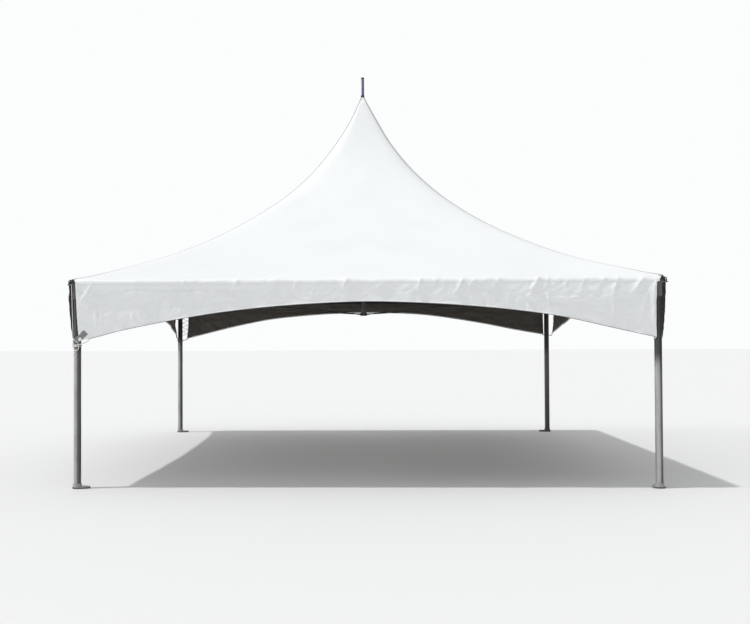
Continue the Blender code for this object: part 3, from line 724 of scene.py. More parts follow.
ROWS = roof_rows()
DROPS = [0.0]
for above, below in zip(reversed(ROWS[:-1]), reversed(ROWS[1:])):
    DROPS.append(DROPS[-1] - hypot(below[0] - above[0], below[1] - above[1]))
DROPS = [drop + LAP for drop in reversed(DROPS)]
print("roof rows", len(ROWS), "way from peak to eave", round(-DROPS[0], 3), "m")

# %% [markdown]
# Vinyl keeps the marks of how it was stored and how it is pulled. Over the rail it puckers in short
# slanting folds, mostly near the right end of the front, and packing leaves straight creases. Each
# fold is a soft ridge between two points of the side, given as metres along the eave and metres
# down from it, so the roof and the skirt below it share the same folds.


# %% Folds
def in_metres(rows):
    """Rows of millimetres as metres."""
    return [tuple(value / 1000 for value in row) for row in rows]


# start along, start down, end along, end down, half width and height, in millimetres
FRONT_FOLDS = in_metres([
    (905, 115, 1000, -45, 20, 16), (1055, 75, 1105, -40, 18, 13), (1300, 60, 1350, -30, 18, 8),
    (1650, 150, 1770, -60, 24, 24), (1805, 60, 1855, -40, 19, 13), (2000, 60, 2070, -35, 19, 6),
    (2175, 55, 2240, -40, 18, 9), (2360, 50, 2420, -45, 18, 10), (2480, 185, 2555, -45, 24, 15),
    (2660, 150, 2830, -50, 24, 19), (2905, 430, 2900, 180, 24, 16), (2890, 240, 2930, -30, 24, 20),
    (2780, 340, 2880, 60, 26, 12), (2916, 430, 2918, 150, 10, 9), (-730, 65, -680, -35, 17, 11),
    (-230, 65, -190, -35, 17, 11), (520, 80, 575, -40, 18, 13), (675, 75, 725, -40, 18, 12),
    (-1890, 70, -1840, -35, 17, 13), (-1345, 70, -1300, -35, 17, 13), (-2920, 190, -2790, 10, 26, 19),
    (-2880, 270, -2760, 100, 22, 10), (-2775, 440, -2760, 270, 17, 11), (-2715, 430, -2708, 290, 14, 8),
    (-2375, 410, -2385, 290, 15, 9), (-2300, 400, -2308, 300, 15, 8), (-2600, 104, -1380, 100, 15, 10),
    (1555, 143, 1860, 143, 13, 9), (1640, 176, 2520, 170, 13, 13), (1638, -20, 1640, 320, 14, 5),
    (1851, 0, 1849, 300, 14, 6), (2503, 140, 2500, 420, 14, 6), (2725, 195, 2840, 193, 13, 10),
    (2750, 368, 2820, 366, 12, 8),
])
LEFT_FOLDS = in_metres([
    (2955, -400, 2960, 950, 50, 14),
])
RIGHT_FOLDS = in_metres([
    (-2930, -10, -2925, 300, 35, 14), (-2920, 430, -2925, 600, 40, 13),
])


def scattered_folds(seed):
    """Folds of the same kinds for a side that the photograph doesn't show."""
    dice = random.Random(seed)
    folds = []
    along = -2.8
    while along < 2.85:
        slant = dice.uniform(0.03, 0.10)
        folds.append((along, dice.uniform(0.05, 0.16), along + slant, -0.040,
                      dice.uniform(0.018, 0.024), dice.uniform(0.008, 0.020)))
        along += dice.uniform(0.12, 0.55)
    for number in range(3):
        start = dice.uniform(-2.6, 1.6)
        down = dice.uniform(0.09, 0.17)
        end = start + dice.uniform(0.4, 1.0)
        folds.append((start, down, end, down, 0.014, dice.uniform(0.007, 0.010)))
    for number in range(4):
        along = dice.uniform(-2.6, 2.6)
        folds.append((along, -0.02, along, 0.32, 0.014, dice.uniform(0.004, 0.006)))
    return folds


FOLDS = {"front": FRONT_FOLDS, "right": scattered_folds(11) + RIGHT_FOLDS, "back": scattered_folds(23),
         "left": scattered_folds(37) + LEFT_FOLDS}
HIP_FADE = 0.16
FOLD_REACH = 3.2
FOLD_SHARPNESS = 1.4
FOLD_ENDS = 0.8
WARP = 0.014
WARP_PITCH = 12
WARP_SEED = 11
CRUMPLE = 0.020
CRUMPLE_SKEW = 0.35
CRUMPLE_MEAN = 0.35
CRUMPLE_ON_ROOF = 0.12
ROOF_FADE = 0.12
# how strong, pitch along, pitch down, and what it adds to the seed
FACETS = ((1, 2.7, 4.5, 0), (0.55, 7, 10, 5), (0.20, 17, 21, 8))
SWAYS = ((0.016, 1.9, 0.8, 9), (0.007, 5.5, 3.5, 3))
SKIRT_DEPTH = 0.55
TUCK = 0.013
TUCK_DOWN = (0.004, 0.07)
TUCK_MIDDLE = -1.85
TUCK_HALF = (1.2, 0.8)
# the cloth starts to rest on the rail, and has left it again, at these ways down from the eave
REST_START = (-0.095, -0.055)
REST_END = (0.075, 0.030)
REST_SOFTNESS = 0.003
noise.seed_set(WARP_SEED)


def fold_height(fold, along, down):
    """One ridge, rounded off at both ends."""
    start_along, start_down, end_along, end_down, width, height = fold
    way_along = end_along - start_along
    way_down = end_down - start_down
    length = hypot(way_along, way_down)
    run = ((along - start_along) * way_along + (down - start_down) * way_down) / length
    off = ((along - start_along) * way_down - (down - start_down) * way_along) / length
    if abs(off) > FOLD_REACH * width or run < -width or run > length + width:
        return 0.0
    share = (run + width) / (length + 2 * width)
    return height * exp(-abs(off / width) ** FOLD_SHARPNESS) * sin(pi * share) ** FOLD_ENDS


def eased(value, low, high):
    """0 below low, 1 above high, and smooth between."""
    share = min(max((value - low) / (high - low), 0), 1)
    return share * share * (3 - 2 * share)


def ripple(along, down, pitch_along, pitch_down, seed):
    """Smooth noise, by how often it changes along the side and down it."""
    return noise.noise(Vector((along * pitch_along, down * pitch_down, seed)))


def crumple(seed, along, down):
    """Flat facets that meet in soft creases, as stiff cloth makes them, from big to small."""
    skewed = along + CRUMPLE_SKEW * down
    return sum(size * abs(ripple(skewed, down, *pitch, seed + extra))
               for size, *pitch, extra in FACETS) - CRUMPLE_MEAN


def relief(side, along, down):
    """How far the cloth stands out here, from its folds, its creases and its sag."""
    seed = SIDE_TURNS[side]
    warp = noise.noise_vector(Vector((along * WARP_PITCH, down * WARP_PITCH, seed + 7))) * WARP
    total = sum(fold_height(fold, along + warp.x, down + warp.y) for fold in FOLDS[side])
    near = CRUMPLE_ON_ROOF + (1 - CRUMPLE_ON_ROOF) * exp(-max(-down, 0) / ROOF_FADE)
    total += CRUMPLE * crumple(seed, along, down) * near
    hanging = max(down, 0) / SKIRT_DEPTH
    for size, *pitch, extra in SWAYS:
        total += size * hanging * ripple(along, down, *pitch, seed + extra)
    total -= TUCK * eased(down, *TUCK_DOWN) * eased(abs(along - TUCK_MIDDLE), *TUCK_HALF)
    resting = eased(down, *REST_START) * eased(down, *REST_END)
    kept = (total + hypot(total, REST_SOFTNESS)) / 2
    return total + (kept - total) * resting


print("folds on the front", len(FRONT_FOLDS), "and behind", len(FOLDS["back"]))

# %% [markdown]
# The sheet is one grid for each quarter, and the quarters are welded along the hips. The grid is
# finer across the front, where the folds show. Last, a plane cuts each corner off where the fitting
# comes through.

# %% Canopy
CLOTH = 0.0012
HIP_WELD = 0.0001
QUARTERS_APART = 10
CANOPY_COLUMNS = {"front": 540, "right": 112, "back": 112, "left": 112}
PEAK_HELD = 0.14
PEAK_PULL = 0.010
NECK_HEIGHT = 4.38
NECK_SPREAD = 0.22
HIP_LIFT = 0.012
HIP_TILT = 0.4
HIP_MIDDLE = 1.2
HIP_SPREAD = 0.8
HIP_FROM = 0.75
CORNER_RISE = 0.019
CORNER_TILT = 0.007
CORNER_NEAR = (2.1, 2.75)
RAIL_NEAR = (-0.012, 0.025)
SWELL = 0.008
SWELL_PITCH = 1.4
SWELL_FREE = (0.4, 0.3)


def side_turn(side):
    """Turns the front onto a side."""
    return Matrix.Rotation(radians(SIDE_TURNS[side]), 3, "Z")


def settled(point):
    """Where the wind has left the top: its neck leans to the right, its hips stand a little fuller on
    the left, and each corner is drawn up over its fitting, more so on the right."""
    free = eased(PEAK_HEIGHT - point.z, 0.0, PEAK_HELD)
    neck = exp(-((point.z - NECK_HEIGHT) / NECK_SPREAD) ** 2) * free
    half = max(abs(point.x), abs(point.y))
    turned = point.x / half
    hip = exp(-((half - HIP_MIDDLE) / HIP_SPREAD) ** 2) * (1 - HIP_TILT * turned) * free
    corner = eased(min(abs(point.x), abs(point.y)) / half, HIP_FROM, 1.0)
    corner *= eased(half, *CORNER_NEAR) * eased(SHEET_HALF - half, *RAIL_NEAR)
    rise = (CORNER_RISE + CORNER_TILT * turned) * corner
    return point + Vector((PEAK_PULL * neck, 0, HIP_LIFT * hip + rise))


def canopy_point(side, share_along, row):
    """A point of the top, by its share along the eave and its row."""
    half, height = ROWS[row]
    tangent = share_along * 2 - 1
    angle = atan(tangent)
    reach = slice_reach(angle, half) * half
    along, out = reach * sin(angle), reach * cos(angle)
    before, after = ROWS[max(row - 1, 0)], ROWS[min(row + 1, len(ROWS) - 1)]
    slope = atan2(before[1] - after[1], after[0] - before[0])
    lift = relief(side, along, DROPS[row]) * eased(half - abs(along), 0, HIP_FADE)
    point = side_turn(side) @ Vector((along, -out - lift * sin(slope), height + lift * cos(slope)))
    still = min((PEAK_HEIGHT - height) / SWELL_FREE[0], 1) * min(max(-DROPS[row], 0) / SWELL_FREE[1], 1)
    point.z += still * SWELL * noise.noise(point * SWELL_PITCH)
    return settled(point)


def make_canopy():
    """The whole top as one sheet, and its area."""
    bm = new_surface()
    last = len(ROWS) - 1
    for number, side in enumerate(SIDE_TURNS):
        def place(across, down, side=side):
            return canopy_point(side, across, round(down * last))

        def unroll(across, down, number=number):
            row = round(down * last)
            half = ROWS[row][0]
            return (1 - abs(2 * across - 1)) * half, QUARTERS_APART * number - DROPS[row]

        add_mapped(bm, CANOPY_COLUMNS[side], last, place, unroll)
    bmesh.ops.remove_doubles(bm, verts=bm.verts, dist=HIP_WELD)
    for sign_x, sign_y in CORNER_SIGNS.values():
        normal = Vector((sign_x, sign_y, 0)).normalized()
        geometry = bm.verts[:] + bm.edges[:] + bm.faces[:]
        bmesh.ops.bisect_plane(bm, geom=geometry, dist=WELD, plane_co=normal * CORNER_CUT / sqrt(2),
                               plane_no=normal, clear_outer=True)
    area = face_outwards(bm, Vector((0, 0, 1)))
    panels = [f"roof_panel_{side}" for side in SIDE_TURNS]
    canopy = make_piece(bm, "canopy_top", ROOF_VINYL, panels, smooth=180, solid=False)
    add_backing(canopy)
    return canopy, area


def thicken(piece, thickness, offset):
    """Give a sheet its thickness: inwards for an offset of -1, outwards for 1."""
    thick = piece.modifiers.new("thickness", "SOLIDIFY")
    thick.thickness = thickness
    thick.offset = offset
    return thick


def add_backing(piece):
    """Give the cloth its thickness, with its inner side painted dark as shade."""
    piece.data.materials.append(SHADE_DARK_LINING)
    thick = thicken(piece, CLOTH, -1)
    thick.material_offset = 1
    thick.use_even_offset = False


CANOPY, CANOPY_AREA = make_canopy()
# four triangles laid side by side fill a box two and a half eaves long
GORE = (2 * SHEET_HALF, -DROPS[0])
2.5 * GORE[0]
print("canopy area", round(CANOPY_AREA, 2), "faces", len(CANOPY.data.polygons))

# %% [markdown]
# A skirt hangs from each eave. Its hem is an arch, deepest at the corners, and its lower corners
# are pulled in towards the legs by the corner cords. It starts just under the canopy's edge, where
# the two are welded, so its grid begins there and uses the same folds.

# %% Skirts
HEM_PITCH = 0.5
HEM_START = -3.0
HEM_HEIGHTS = {
    "front": (1.498, 1.619, 1.717, 1.797, 1.852, 1.886, 1.903, 1.890, 1.860, 1.813, 1.740, 1.628, 1.515),
    "right": (1.518, 1.626, 1.716, 1.790, 1.845, 1.880, 1.896, 1.888, 1.853, 1.799, 1.722, 1.627, 1.520),
    "back": (1.548, 1.635, 1.735, 1.821, 1.888, 1.918, 1.926, 1.910, 1.876, 1.822, 1.727, 1.607, 1.480),
    "left": (1.460, 1.686, 1.783, 1.840, 1.877, 1.890, 1.897, 1.890, 1.845, 1.790, 1.716, 1.626, 1.518),
}
SKIRT_LEAN = 0.035
SKIRT_TOP = RAIL_HEIGHT - GAP
SKIRT_INSET = CLOTH + 0.0002
SKIRT_ENDS = {"front": (2.966, 2.935), "right": (2.965, 2.730), "back": (2.925, 2.865),
              "left": (2.930, 2.965)}
PULL_REACH = 0.5
# how far each end is drawn in at its foot, and how far it bows out half way down
END_PULL = {"front": ((0.026, 0.0), (0.0, -0.006)), "right": ((0.0, 0.0), (-0.006, 0.020)),
            "back": ((0.0, 0.0), (0.0, -0.020)), "left": ((0.0, 0.0), (0.0, 0.0))}
SKIRT_GRID = {"front": (720, 62), "right": (340, 32), "back": (340, 32), "left": (340, 32)}
END_HEM = 0.028
END_HEM_STEP = 0.0011
END_HEM_EDGE = 0.004


def hem_height(side, along):
    """Height of a side's arched hem, as a smooth curve through its table."""
    heights = HEM_HEIGHTS[side]
    place = (along - HEM_START) / HEM_PITCH
    index = min(max(int(place), 0), len(heights) - 2)
    share = place - index
    low, high = heights[index:index + 2]
    before = heights[index - 1] if index > 0 else 2 * low - high
    after = heights[index + 2] if index + 2 < len(heights) else 2 * high - low
    turn = 2 * before - 5 * low + 4 * high - after
    twist = 3 * low - before - 3 * high + after
    return low + share * (high - before + share * (turn + share * twist)) / 2


def skirt_reach(side, along, height):
    """How far out the skirt stands at a place on it."""
    down = min((SKIRT_TOP - height) / (SKIRT_TOP - hem_height(side, along)), 1)
    lean = SKIRT_LEAN * down ** 2 * abs(along / LEG_AXIS) ** 4
    return EAVE_HALF - SKIRT_INSET - lean + relief(side, along, SKIRT_TOP - height)


def drawn_in(side, along, down):
    """A place along a skirt after its two ends are drawn in or bowed out."""
    to_left, to_right = SKIRT_ENDS[side]
    (left_foot, left_bow), (right_foot, right_bow) = END_PULL[side]
    bow = sin(pi * min(max(down, 0), 1))
    left = eased(along, PULL_REACH - to_left, -to_left) * (left_foot * down - left_bow * bow)
    right = eased(along, to_right - PULL_REACH, to_right) * (right_foot * down - right_bow * bow)
    return along + left - right


def make_skirt(side):
    """One arched skirt, with a folded hem up each end, and its area."""
    to_left, to_right = SKIRT_ENDS[side]
    columns, rows = SKIRT_GRID[side]
    turn = side_turn(side)

    def place(across, down):
        along = -to_left + (to_left + to_right) * across
        height = SKIRT_TOP + (hem_height(side, along) - SKIRT_TOP) * down
        edge = min(along + to_left, to_right - along)
        step = END_HEM_STEP * min(max((END_HEM - edge) / END_HEM_EDGE, 0), 1)
        reach = skirt_reach(side, along, height) + step
        return turn @ Vector((drawn_in(side, along, down), -reach, height))

    def unroll(across, down):
        along = -to_left + (to_left + to_right) * across
        return along, (SKIRT_TOP - hem_height(side, along)) * down

    bm = new_surface()
    add_mapped(bm, columns, rows, place, unroll)
    area = face_outwards(bm, turn @ Vector((0, -1, 0)))
    skirt = make_piece(bm, f"skirt_{side}", VINYL, [f"valance_{side}"],
                       smooth=180, solid=False)
    add_backing(skirt)
    return skirt, area


print("lowest points of the hems", {side: min(heights) for side, heights in HEM_HEIGHTS.items()})

# %% [markdown]
# The hem is a rope inside a fold of the vinyl, which keeps the arch in shape and ends in the
# corner cords. From outside it is a slim round bead along the arch, with painted shade on its underside.

# %% Hems
HEM_ROPE = 0.0085
HEM_INSET = HEM_ROPE * 0.35
HEM_RAISE = HEM_ROPE * 0.3
HEM_SHORT = {"front": 0.105, "right": 0.0, "back": 0.0, "left": 0.0}
HEM_STEPS = 400


def hem_place(side, along, raised=0):
    """A point of the hem's rope."""
    height = hem_height(side, along)
    reach = skirt_reach(side, along, height) - HEM_INSET
    return side_turn(side) @ Vector((drawn_in(side, along, 1), -reach, height + raised))


def make_hem(side):
    """The round bead along the skirt's arch, and its length."""
    to_left, to_right = SKIRT_ENDS[side]
    length = to_left + to_right - HEM_SHORT[side]
    path = [hem_place(side, -to_left + HEM_SHORT[side] + length * step / HEM_STEPS, HEM_RAISE)
            for step in range(HEM_STEPS + 1)]
    return make_bar(f"hem_{side}", path, HEM_ROPE, 10, HEM_VINYL)


for side in SIDE_TURNS:
    skirt, area = make_skirt(side)
    hem, length = make_hem(side)
    SKIRT_TOP - min(HEM_HEIGHTS[side])
    print(side, "skirt area", round(area, 3), "hem", round(length, 3))

# %% [markdown]
# Legs, rails and mast are plain drawn tubes. A tube is a turned profile: up the outside, down the
# inside, with the four edges eased, because a sawn and filed end never has a knife edge.

# %% Tubes
POLE_LOW, POLE_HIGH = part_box("mast_pole")
POLE_WALL = 0.0027
CAP_LOW, CAP_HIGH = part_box("mast_cap")
COLLAR_LOW, COLLAR_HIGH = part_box("peak_collar")


def make_tube(name, node, place, radius, wall, length, finish):
    """A tube along local Z, from 0 to its length."""
    outline = [(radius, 0), (radius, length), (radius - wall, length), (radius - wall, 0)]
    bm = bmesh.new()
    add_turned(bm, rounded(outline, wall * 0.3), place)
    return make_piece(bm, name, finish, [node], smooth=30)


def along_rail(side):
    """Local Z along a side's rail, from its left end."""
    lie = Matrix.Translation((-RAIL_END, -RAIL_AXIS, RAIL_HEIGHT)) @ Matrix.Rotation(pi / 2, 4, "Y")
    return side_turn(side).to_4x4() @ lie


for corner in CORNER_SIGNS:
    make_tube(f"leg_tube_{corner}", f"leg_{corner}", Matrix.Translation(leg_axis(corner, LEG_LOW.z)),
              LEG_RADIUS, TUBE_WALL, LEG_HIGH.z - LEG_LOW.z, ALUMINIUM["Z"])
# the rails' near black finish is painted shade
for side in SIDE_TURNS:
    make_tube(f"rail_tube_{side}", f"eave_rail_{side}", along_rail(side), RAIL_RADIUS, TUBE_WALL,
              2 * RAIL_END, ALUMINIUM["X" if side in ("front", "back") else "Y"])
# the mast has the legs' finish and stands above their painted top shade, so it is near black all over
make_tube("mast_tube", "mast_pole", Matrix.Translation((0, 0, POLE_LOW.z)), POLE_HIGH.x, POLE_WALL,
          POLE_HIGH.z - POLE_LOW.z, ALUMINIUM["Z"])
make_tube("mast_point", "mast_tip", Matrix.Translation((0, 0, TIP_LOW.z)), TIP_HIGH.x, TUBE_WALL,
          TIP_HIGH.z - TIP_LOW.z, TIP_PAINT)
print("tubes made, legs", round(2 * LEG_RADIUS * 1000, 1), "mm across")

# %% [markdown]
# Two small black parts close the peak. A cap is pushed into the open end of the mast, and a collar
# clamps the vinyl round it and keeps the rain out. Both are moulded, so all their edges are round.


# %% Cap and collar
CAP_DOME = 0.55
CAP_CHAMFER = (0.97, 0.06)
CAP_STEPS = 8
COLLAR_TAPER = 0.93
COLLAR_EASE = 0.0025


def make_cap():
    """The mast's cap, with a domed top."""
    height = CAP_HIGH.z - CAP_LOW.z
    radius = CAP_HIGH.x
    profile = [(0, 0), (radius * CAP_CHAMFER[0], 0), (radius, height * CAP_CHAMFER[1])]
    for step in range(CAP_STEPS + 1):
        angle = pi / 2 * step / CAP_STEPS
        profile.append((radius * cos(angle), height * (1 - CAP_DOME + CAP_DOME * sin(angle))))
    bm = bmesh.new()
    add_turned(bm, profile, Matrix.Translation((0, 0, CAP_LOW.z)), closed=False)
    return make_piece(bm, "mast_end_cap", BLACK, ["mast_cap"], smooth=50)


def make_collar():
    """The rain collar: a ring that widens towards the cloth."""
    height = COLLAR_HIGH.z - COLLAR_LOW.z
    outer = COLLAR_HIGH.x
    inner = TIP_HIGH.x + GAP
    outline = [(outer, 0), (outer * COLLAR_TAPER, height), (inner, height), (inner, 0)]
    bm = bmesh.new()
    add_turned(bm, rounded(outline, COLLAR_EASE), Matrix.Translation((0, 0, COLLAR_LOW.z)))
    return make_piece(bm, "rain_collar", BLACK, ["peak_collar"], smooth=50)


make_cap()
make_collar()
print("cap and collar made")

# %% [markdown]
# Each leg stands in a cast steel foot: an egg shaped plate with a stake hole in its long end, and a
# low socket that flares into it. The plate's outline and its hole are two rings of edges filled
# together, then pulled up and bevelled, and the socket is a turned profile.

# %% Feet
PLATE_THICKNESS = 0.020
FOOT_SHORT = 0.051
FOOT_LONG = 0.134
FOOT_HALF_WIDTH = 0.061
SOCKET_TOP = 0.050
SOCKET_RADIUS = 0.0440
FLARE_RADIUS = 0.0480
STAKE_HOLE = 0.012
STAKE_REACH = 0.094
PLATE_EASE = 0.0035
SOCKET_SEAT = PLATE_THICKNESS - 0.001
FLARE_POWER = 2.4
FLARE_TOP = 0.92
FLARE_STEPS = 8
SOCKET_EASE = 0.0015
FOOT_TURNS = {"front_left": 0, "front_right": 90, "back_left": 0, "back_right": 180}


def make_foot(corner):
    """The plate and its socket."""
    bm = bmesh.new()
    for vert in bmesh.ops.create_circle(bm, segments=72, radius=1)["verts"]:
        reach = FOOT_LONG if vert.co.x > 0 else FOOT_SHORT
        vert.co = (vert.co.x * reach, vert.co.y * FOOT_HALF_WIDTH, 0)
    bmesh.ops.create_circle(bm, segments=24, radius=STAKE_HOLE,
                            matrix=Matrix.Translation((STAKE_REACH, 0, 0)))
    bmesh.ops.triangle_fill(bm, use_beauty=True, edges=bm.edges[:])
    raised = bmesh.ops.extrude_face_region(bm, geom=bm.faces[:], use_keep_orig=True)["geom"]
    bmesh.ops.translate(bm, verts=[item for item in raised if isinstance(item, bmesh.types.BMVert)],
                        vec=(0, 0, PLATE_THICKNESS))
    bmesh.ops.recalc_face_normals(bm, faces=bm.faces)
    rims = [edge for edge in bm.edges if len(edge.link_faces) == 2 and edge.calc_face_angle() > 1]
    bmesh.ops.bevel(bm, geom=rims, offset=PLATE_EASE, segments=4, profile=0.5, affect="EDGES",
                    material=-1)
    rise = (SOCKET_TOP - PLATE_THICKNESS) * FLARE_TOP
    outline = [(LEG_RADIUS + GAP, SOCKET_SEAT), (FLARE_RADIUS, SOCKET_SEAT)]
    for step in range(1, FLARE_STEPS + 1):
        share = step / FLARE_STEPS
        outline.append((SOCKET_RADIUS + (FLARE_RADIUS - SOCKET_RADIUS) * (1 - share) ** FLARE_POWER,
                        PLATE_THICKNESS + rise * share))
    outline += [(SOCKET_RADIUS - SOCKET_EASE, SOCKET_TOP), (LEG_RADIUS + GAP, SOCKET_TOP)]
    add_turned(bm, outline)
    turn = Matrix.Rotation(radians(FOOT_TURNS[corner]), 4, "Z")
    place = Matrix.Translation(leg_axis(corner)) @ turn
    bmesh.ops.transform(bm, matrix=place, verts=bm.verts)
    return make_piece(bm, f"cast_foot_{corner}", CAST, [f"foot_{corner}"], smooth=32)


for corner in CORNER_SIGNS:
    foot = make_foot(corner)
    print(foot.name, len(foot.data.polygons), "faces")

# %% [markdown]
# The corner fittings and the mast's base are welded from tube and plate, and the frame already has
# their true shape. A copy of each is merged and gets a fine bevel, so that its edges catch the
# light, and the copy stands for the original.

# %% Welded fittings
EDGE_EASE = 0.0014


def dress_copy(node, name, finish):
    """A merged copy of a frame node with eased edges."""
    bm = bmesh.new()
    bm.from_mesh(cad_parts[node].data)
    bmesh.ops.remove_doubles(bm, verts=bm.verts, dist=WELD)
    bmesh.ops.dissolve_limit(bm, angle_limit=radians(1), verts=bm.verts, edges=bm.edges)
    piece = make_piece(bm, name, finish, [node], smooth=32, solid=False)
    ease = piece.modifiers.new("eased_edges", "BEVEL")
    ease.width = EDGE_EASE
    ease.segments = 2
    ease.limit_method = "ANGLE"
    ease.angle_limit = radians(40)
    return piece


for corner in CORNER_SIGNS:
    dress_copy(f"corner_fitting_{corner}", f"welded_corner_{corner}", STEEL)
dress_copy("mast_base", "mast_cup", STEEL)
print("fittings dressed")

# %% [markdown]
# On each corner stands a loop of bent round bar, where a rope or a ratchet can be hooked. It is a
# bar swept along half an oval on two short legs, near black.

# %% Corner rings
RING_REACH = 0.078
RING_HALF = 0.039
RING_HEIGHT = 0.040
RING_ROD = 0.006
RING_STEPS = 32
RING_BASE = 2.092 + GAP


def corner_frame(corner):
    """Local X outwards along a corner's diagonal, from its leg's axis."""
    sign_x, sign_y = CORNER_SIGNS[corner]
    turn = Matrix.Rotation(atan2(sign_y, sign_x), 4, "Z")
    return Matrix.Translation(leg_axis(corner)) @ turn


def make_ring(corner):
    """The bent bar on a corner's ring plate."""
    shoulder = RING_BASE + RING_HEIGHT - RING_HALF / 2
    points = [Vector((RING_REACH, -RING_HALF, RING_BASE))]
    for step in range(RING_STEPS + 1):
        angle = pi * step / RING_STEPS
        points.append(Vector((RING_REACH, -RING_HALF * cos(angle), shoulder + RING_HALF / 2 * sin(angle))))
    points.append(Vector((RING_REACH, RING_HALF, RING_BASE)))
    place = corner_frame(corner)
    make_bar(f"ring_bar_{corner}", [place @ point for point in points], RING_ROD, 16, DARK_STEEL,
             [f"corner_ring_{corner}"], smooth=50)


for corner in CORNER_SIGNS:
    make_ring(corner)
print("corner rings made")

# %% [markdown]
# Under the roof four wire ropes run from the mast's base to the corners, pulled tight, and carry
# the whole mast. A wire rope is six strands laid round each other, so its section is a six lobed
# round that turns as it goes. Each end is pressed into a sleeve with a fork and a pin.

# %% Cross cables
CABLE_RADIUS = 0.005
CABLE_LAY = 0.075
SLEEVE_RADIUS = 0.009
SLEEVE_LENGTH = 0.070
SLEEVE_START = 0.004
SLEEVE_TAPER = 0.012
SLEEVE_MOUTH = 0.72
SLEEVE_STRAIGHT = 0.052
CABLE_LOW = (0.0548, 1.834)
CABLE_HIGH = (LEG_AXIS * sqrt(2) - 0.0858, 2.050)
FORK_HALF = 0.0078
FORK_CHEEK = 0.003
FORK_REACH = 0.020
FORK_LAP = 0.004
FORK_HEIGHT = 0.020
FORK_EASE = 0.0009
PIN_RADIUS = 0.0045
PIN_PAST = 0.003
PIN_REACH = 0.011
CABLE_STEPS = 520


def strands(angle, run):
    """The rope's section: six lobes that wind along it."""
    return 0.86 + 0.16 * abs(cos(3 * angle - 6 * pi * run / CABLE_LAY))


def sleeve(angle, run):
    """The sleeve's section: narrower at its mouth."""
    return 1 if run < SLEEVE_STRAIGHT else SLEEVE_MOUTH


def add_fork(bm, end, inwards):
    """Two cheeks that lap the lug beyond the cable's end, and the pin through them."""
    side = inwards.cross(Vector((0, 0, 1))).normalized()
    up = side.cross(inwards)
    turn = Matrix((inwards, side, up)).transposed().to_4x4()
    place = Matrix.Translation(end) @ turn
    for sign in (-1, 1):
        centre = Vector((FORK_LAP - FORK_REACH / 2, sign * (FORK_HALF + FORK_CHEEK / 2), 0))
        size = Matrix.Diagonal((FORK_REACH + 2 * FORK_LAP, FORK_CHEEK, FORK_HEIGHT, 1))
        before = set(bm.verts)
        bmesh.ops.create_cube(bm, size=1, matrix=place @ Matrix.Translation(centre) @ size)
        bmesh.ops.bevel(bm, geom=edges_at(added(bm, before)), offset=FORK_EASE, segments=2,
                        profile=0.5, affect="EDGES", material=-1)
    reach = FORK_HALF + FORK_CHEEK + PIN_PAST
    outline = [(0, -reach), (PIN_RADIUS, -reach), (PIN_RADIUS, reach), (0, reach)]
    pin = Matrix.Translation(end - inwards * PIN_REACH) @ turn @ Matrix.Rotation(pi / 2, 4, "X")
    add_turned(bm, outline, pin, 20, closed=False)


def make_cable(corner):
    """One wire rope with a sleeve, a fork and a pin at each end."""
    sign_x, sign_y = CORNER_SIGNS[corner]
    out = Vector((sign_x, sign_y, 0)).normalized()
    low = out * CABLE_LOW[0] + Vector((0, 0, CABLE_LOW[1]))
    high = out * CABLE_HIGH[0] + Vector((0, 0, CABLE_HIGH[1]))
    way = (high - low).normalized()
    start, end = low + way * SLEEVE_LENGTH * 0.8, high - way * SLEEVE_LENGTH * 0.8
    bm = new_surface()
    path = [start.lerp(end, step / CABLE_STEPS) for step in range(CABLE_STEPS + 1)]
    add_swept(bm, path, CABLE_RADIUS, 24, strands)
    for point, inwards in ((low, way), (high, -way)):
        mouth = point + inwards * SLEEVE_LENGTH
        back, front = point + inwards * SLEEVE_START, mouth - inwards * SLEEVE_TAPER
        add_swept(bm, [back.lerp(front, step / 4) for step in range(5)] + [mouth], SLEEVE_RADIUS, 24,
                  sleeve)
        add_fork(bm, point, inwards)
    return make_piece(bm, f"wire_rope_{corner}", WIRE, [f"cross_cable_{corner}"], smooth=40)


for corner in CORNER_SIGNS:
    cable = make_cable(corner)
    print(cable.name, len(cable.data.polygons), "faces")

# %% [markdown]
# A cord ties the lower corners of two skirts to the leg between them. It is the hem rope's own end:
# it comes down out of one hem, goes round the leg, and goes up into the other hem. The way round
# the leg is a circle that the straight runs touch.

# %% Corner cords
CORD_RADIUS = 0.005
CORD_PITCH = 0.012
CORD_STEP = radians(24)
CORD_LEAD = 0.006
CORD_INSET = 0.010
PASS_CLEAR = 0.0025
# height round the leg, how far in from the first hem's end it starts, and its full turns
CORD_TIES = {
    "front_left": (1.468, 0.110, 1),
    "front_right": (1.508, CORD_INSET, 0),
    "back_left": (1.487, CORD_INSET, 1),
    "back_right": (1.550, CORD_INSET, 0),
}
CORNER_SKIRTS = {
    "front_left": (("front", -1), ("left", 1)),
    "front_right": (("front", 1), ("right", -1)),
    "back_left": (("back", 1), ("left", -1)),
    "back_right": (("back", -1), ("right", 1)),
}


def hem_end(side, end, inset):
    """Where a cord comes out of the hem near a skirt's lower corner."""
    return hem_place(side, (SKIRT_ENDS[side][0 if end < 0 else 1] - inset) * end)


def tangent_angle(point, centre, radius, way):
    """Where a straight run from the point meets a circle, to go round it the given way."""
    out = point - centre
    return atan2(out.y, out.x) + way * acos(min(radius / hypot(out.x, out.y), 1))


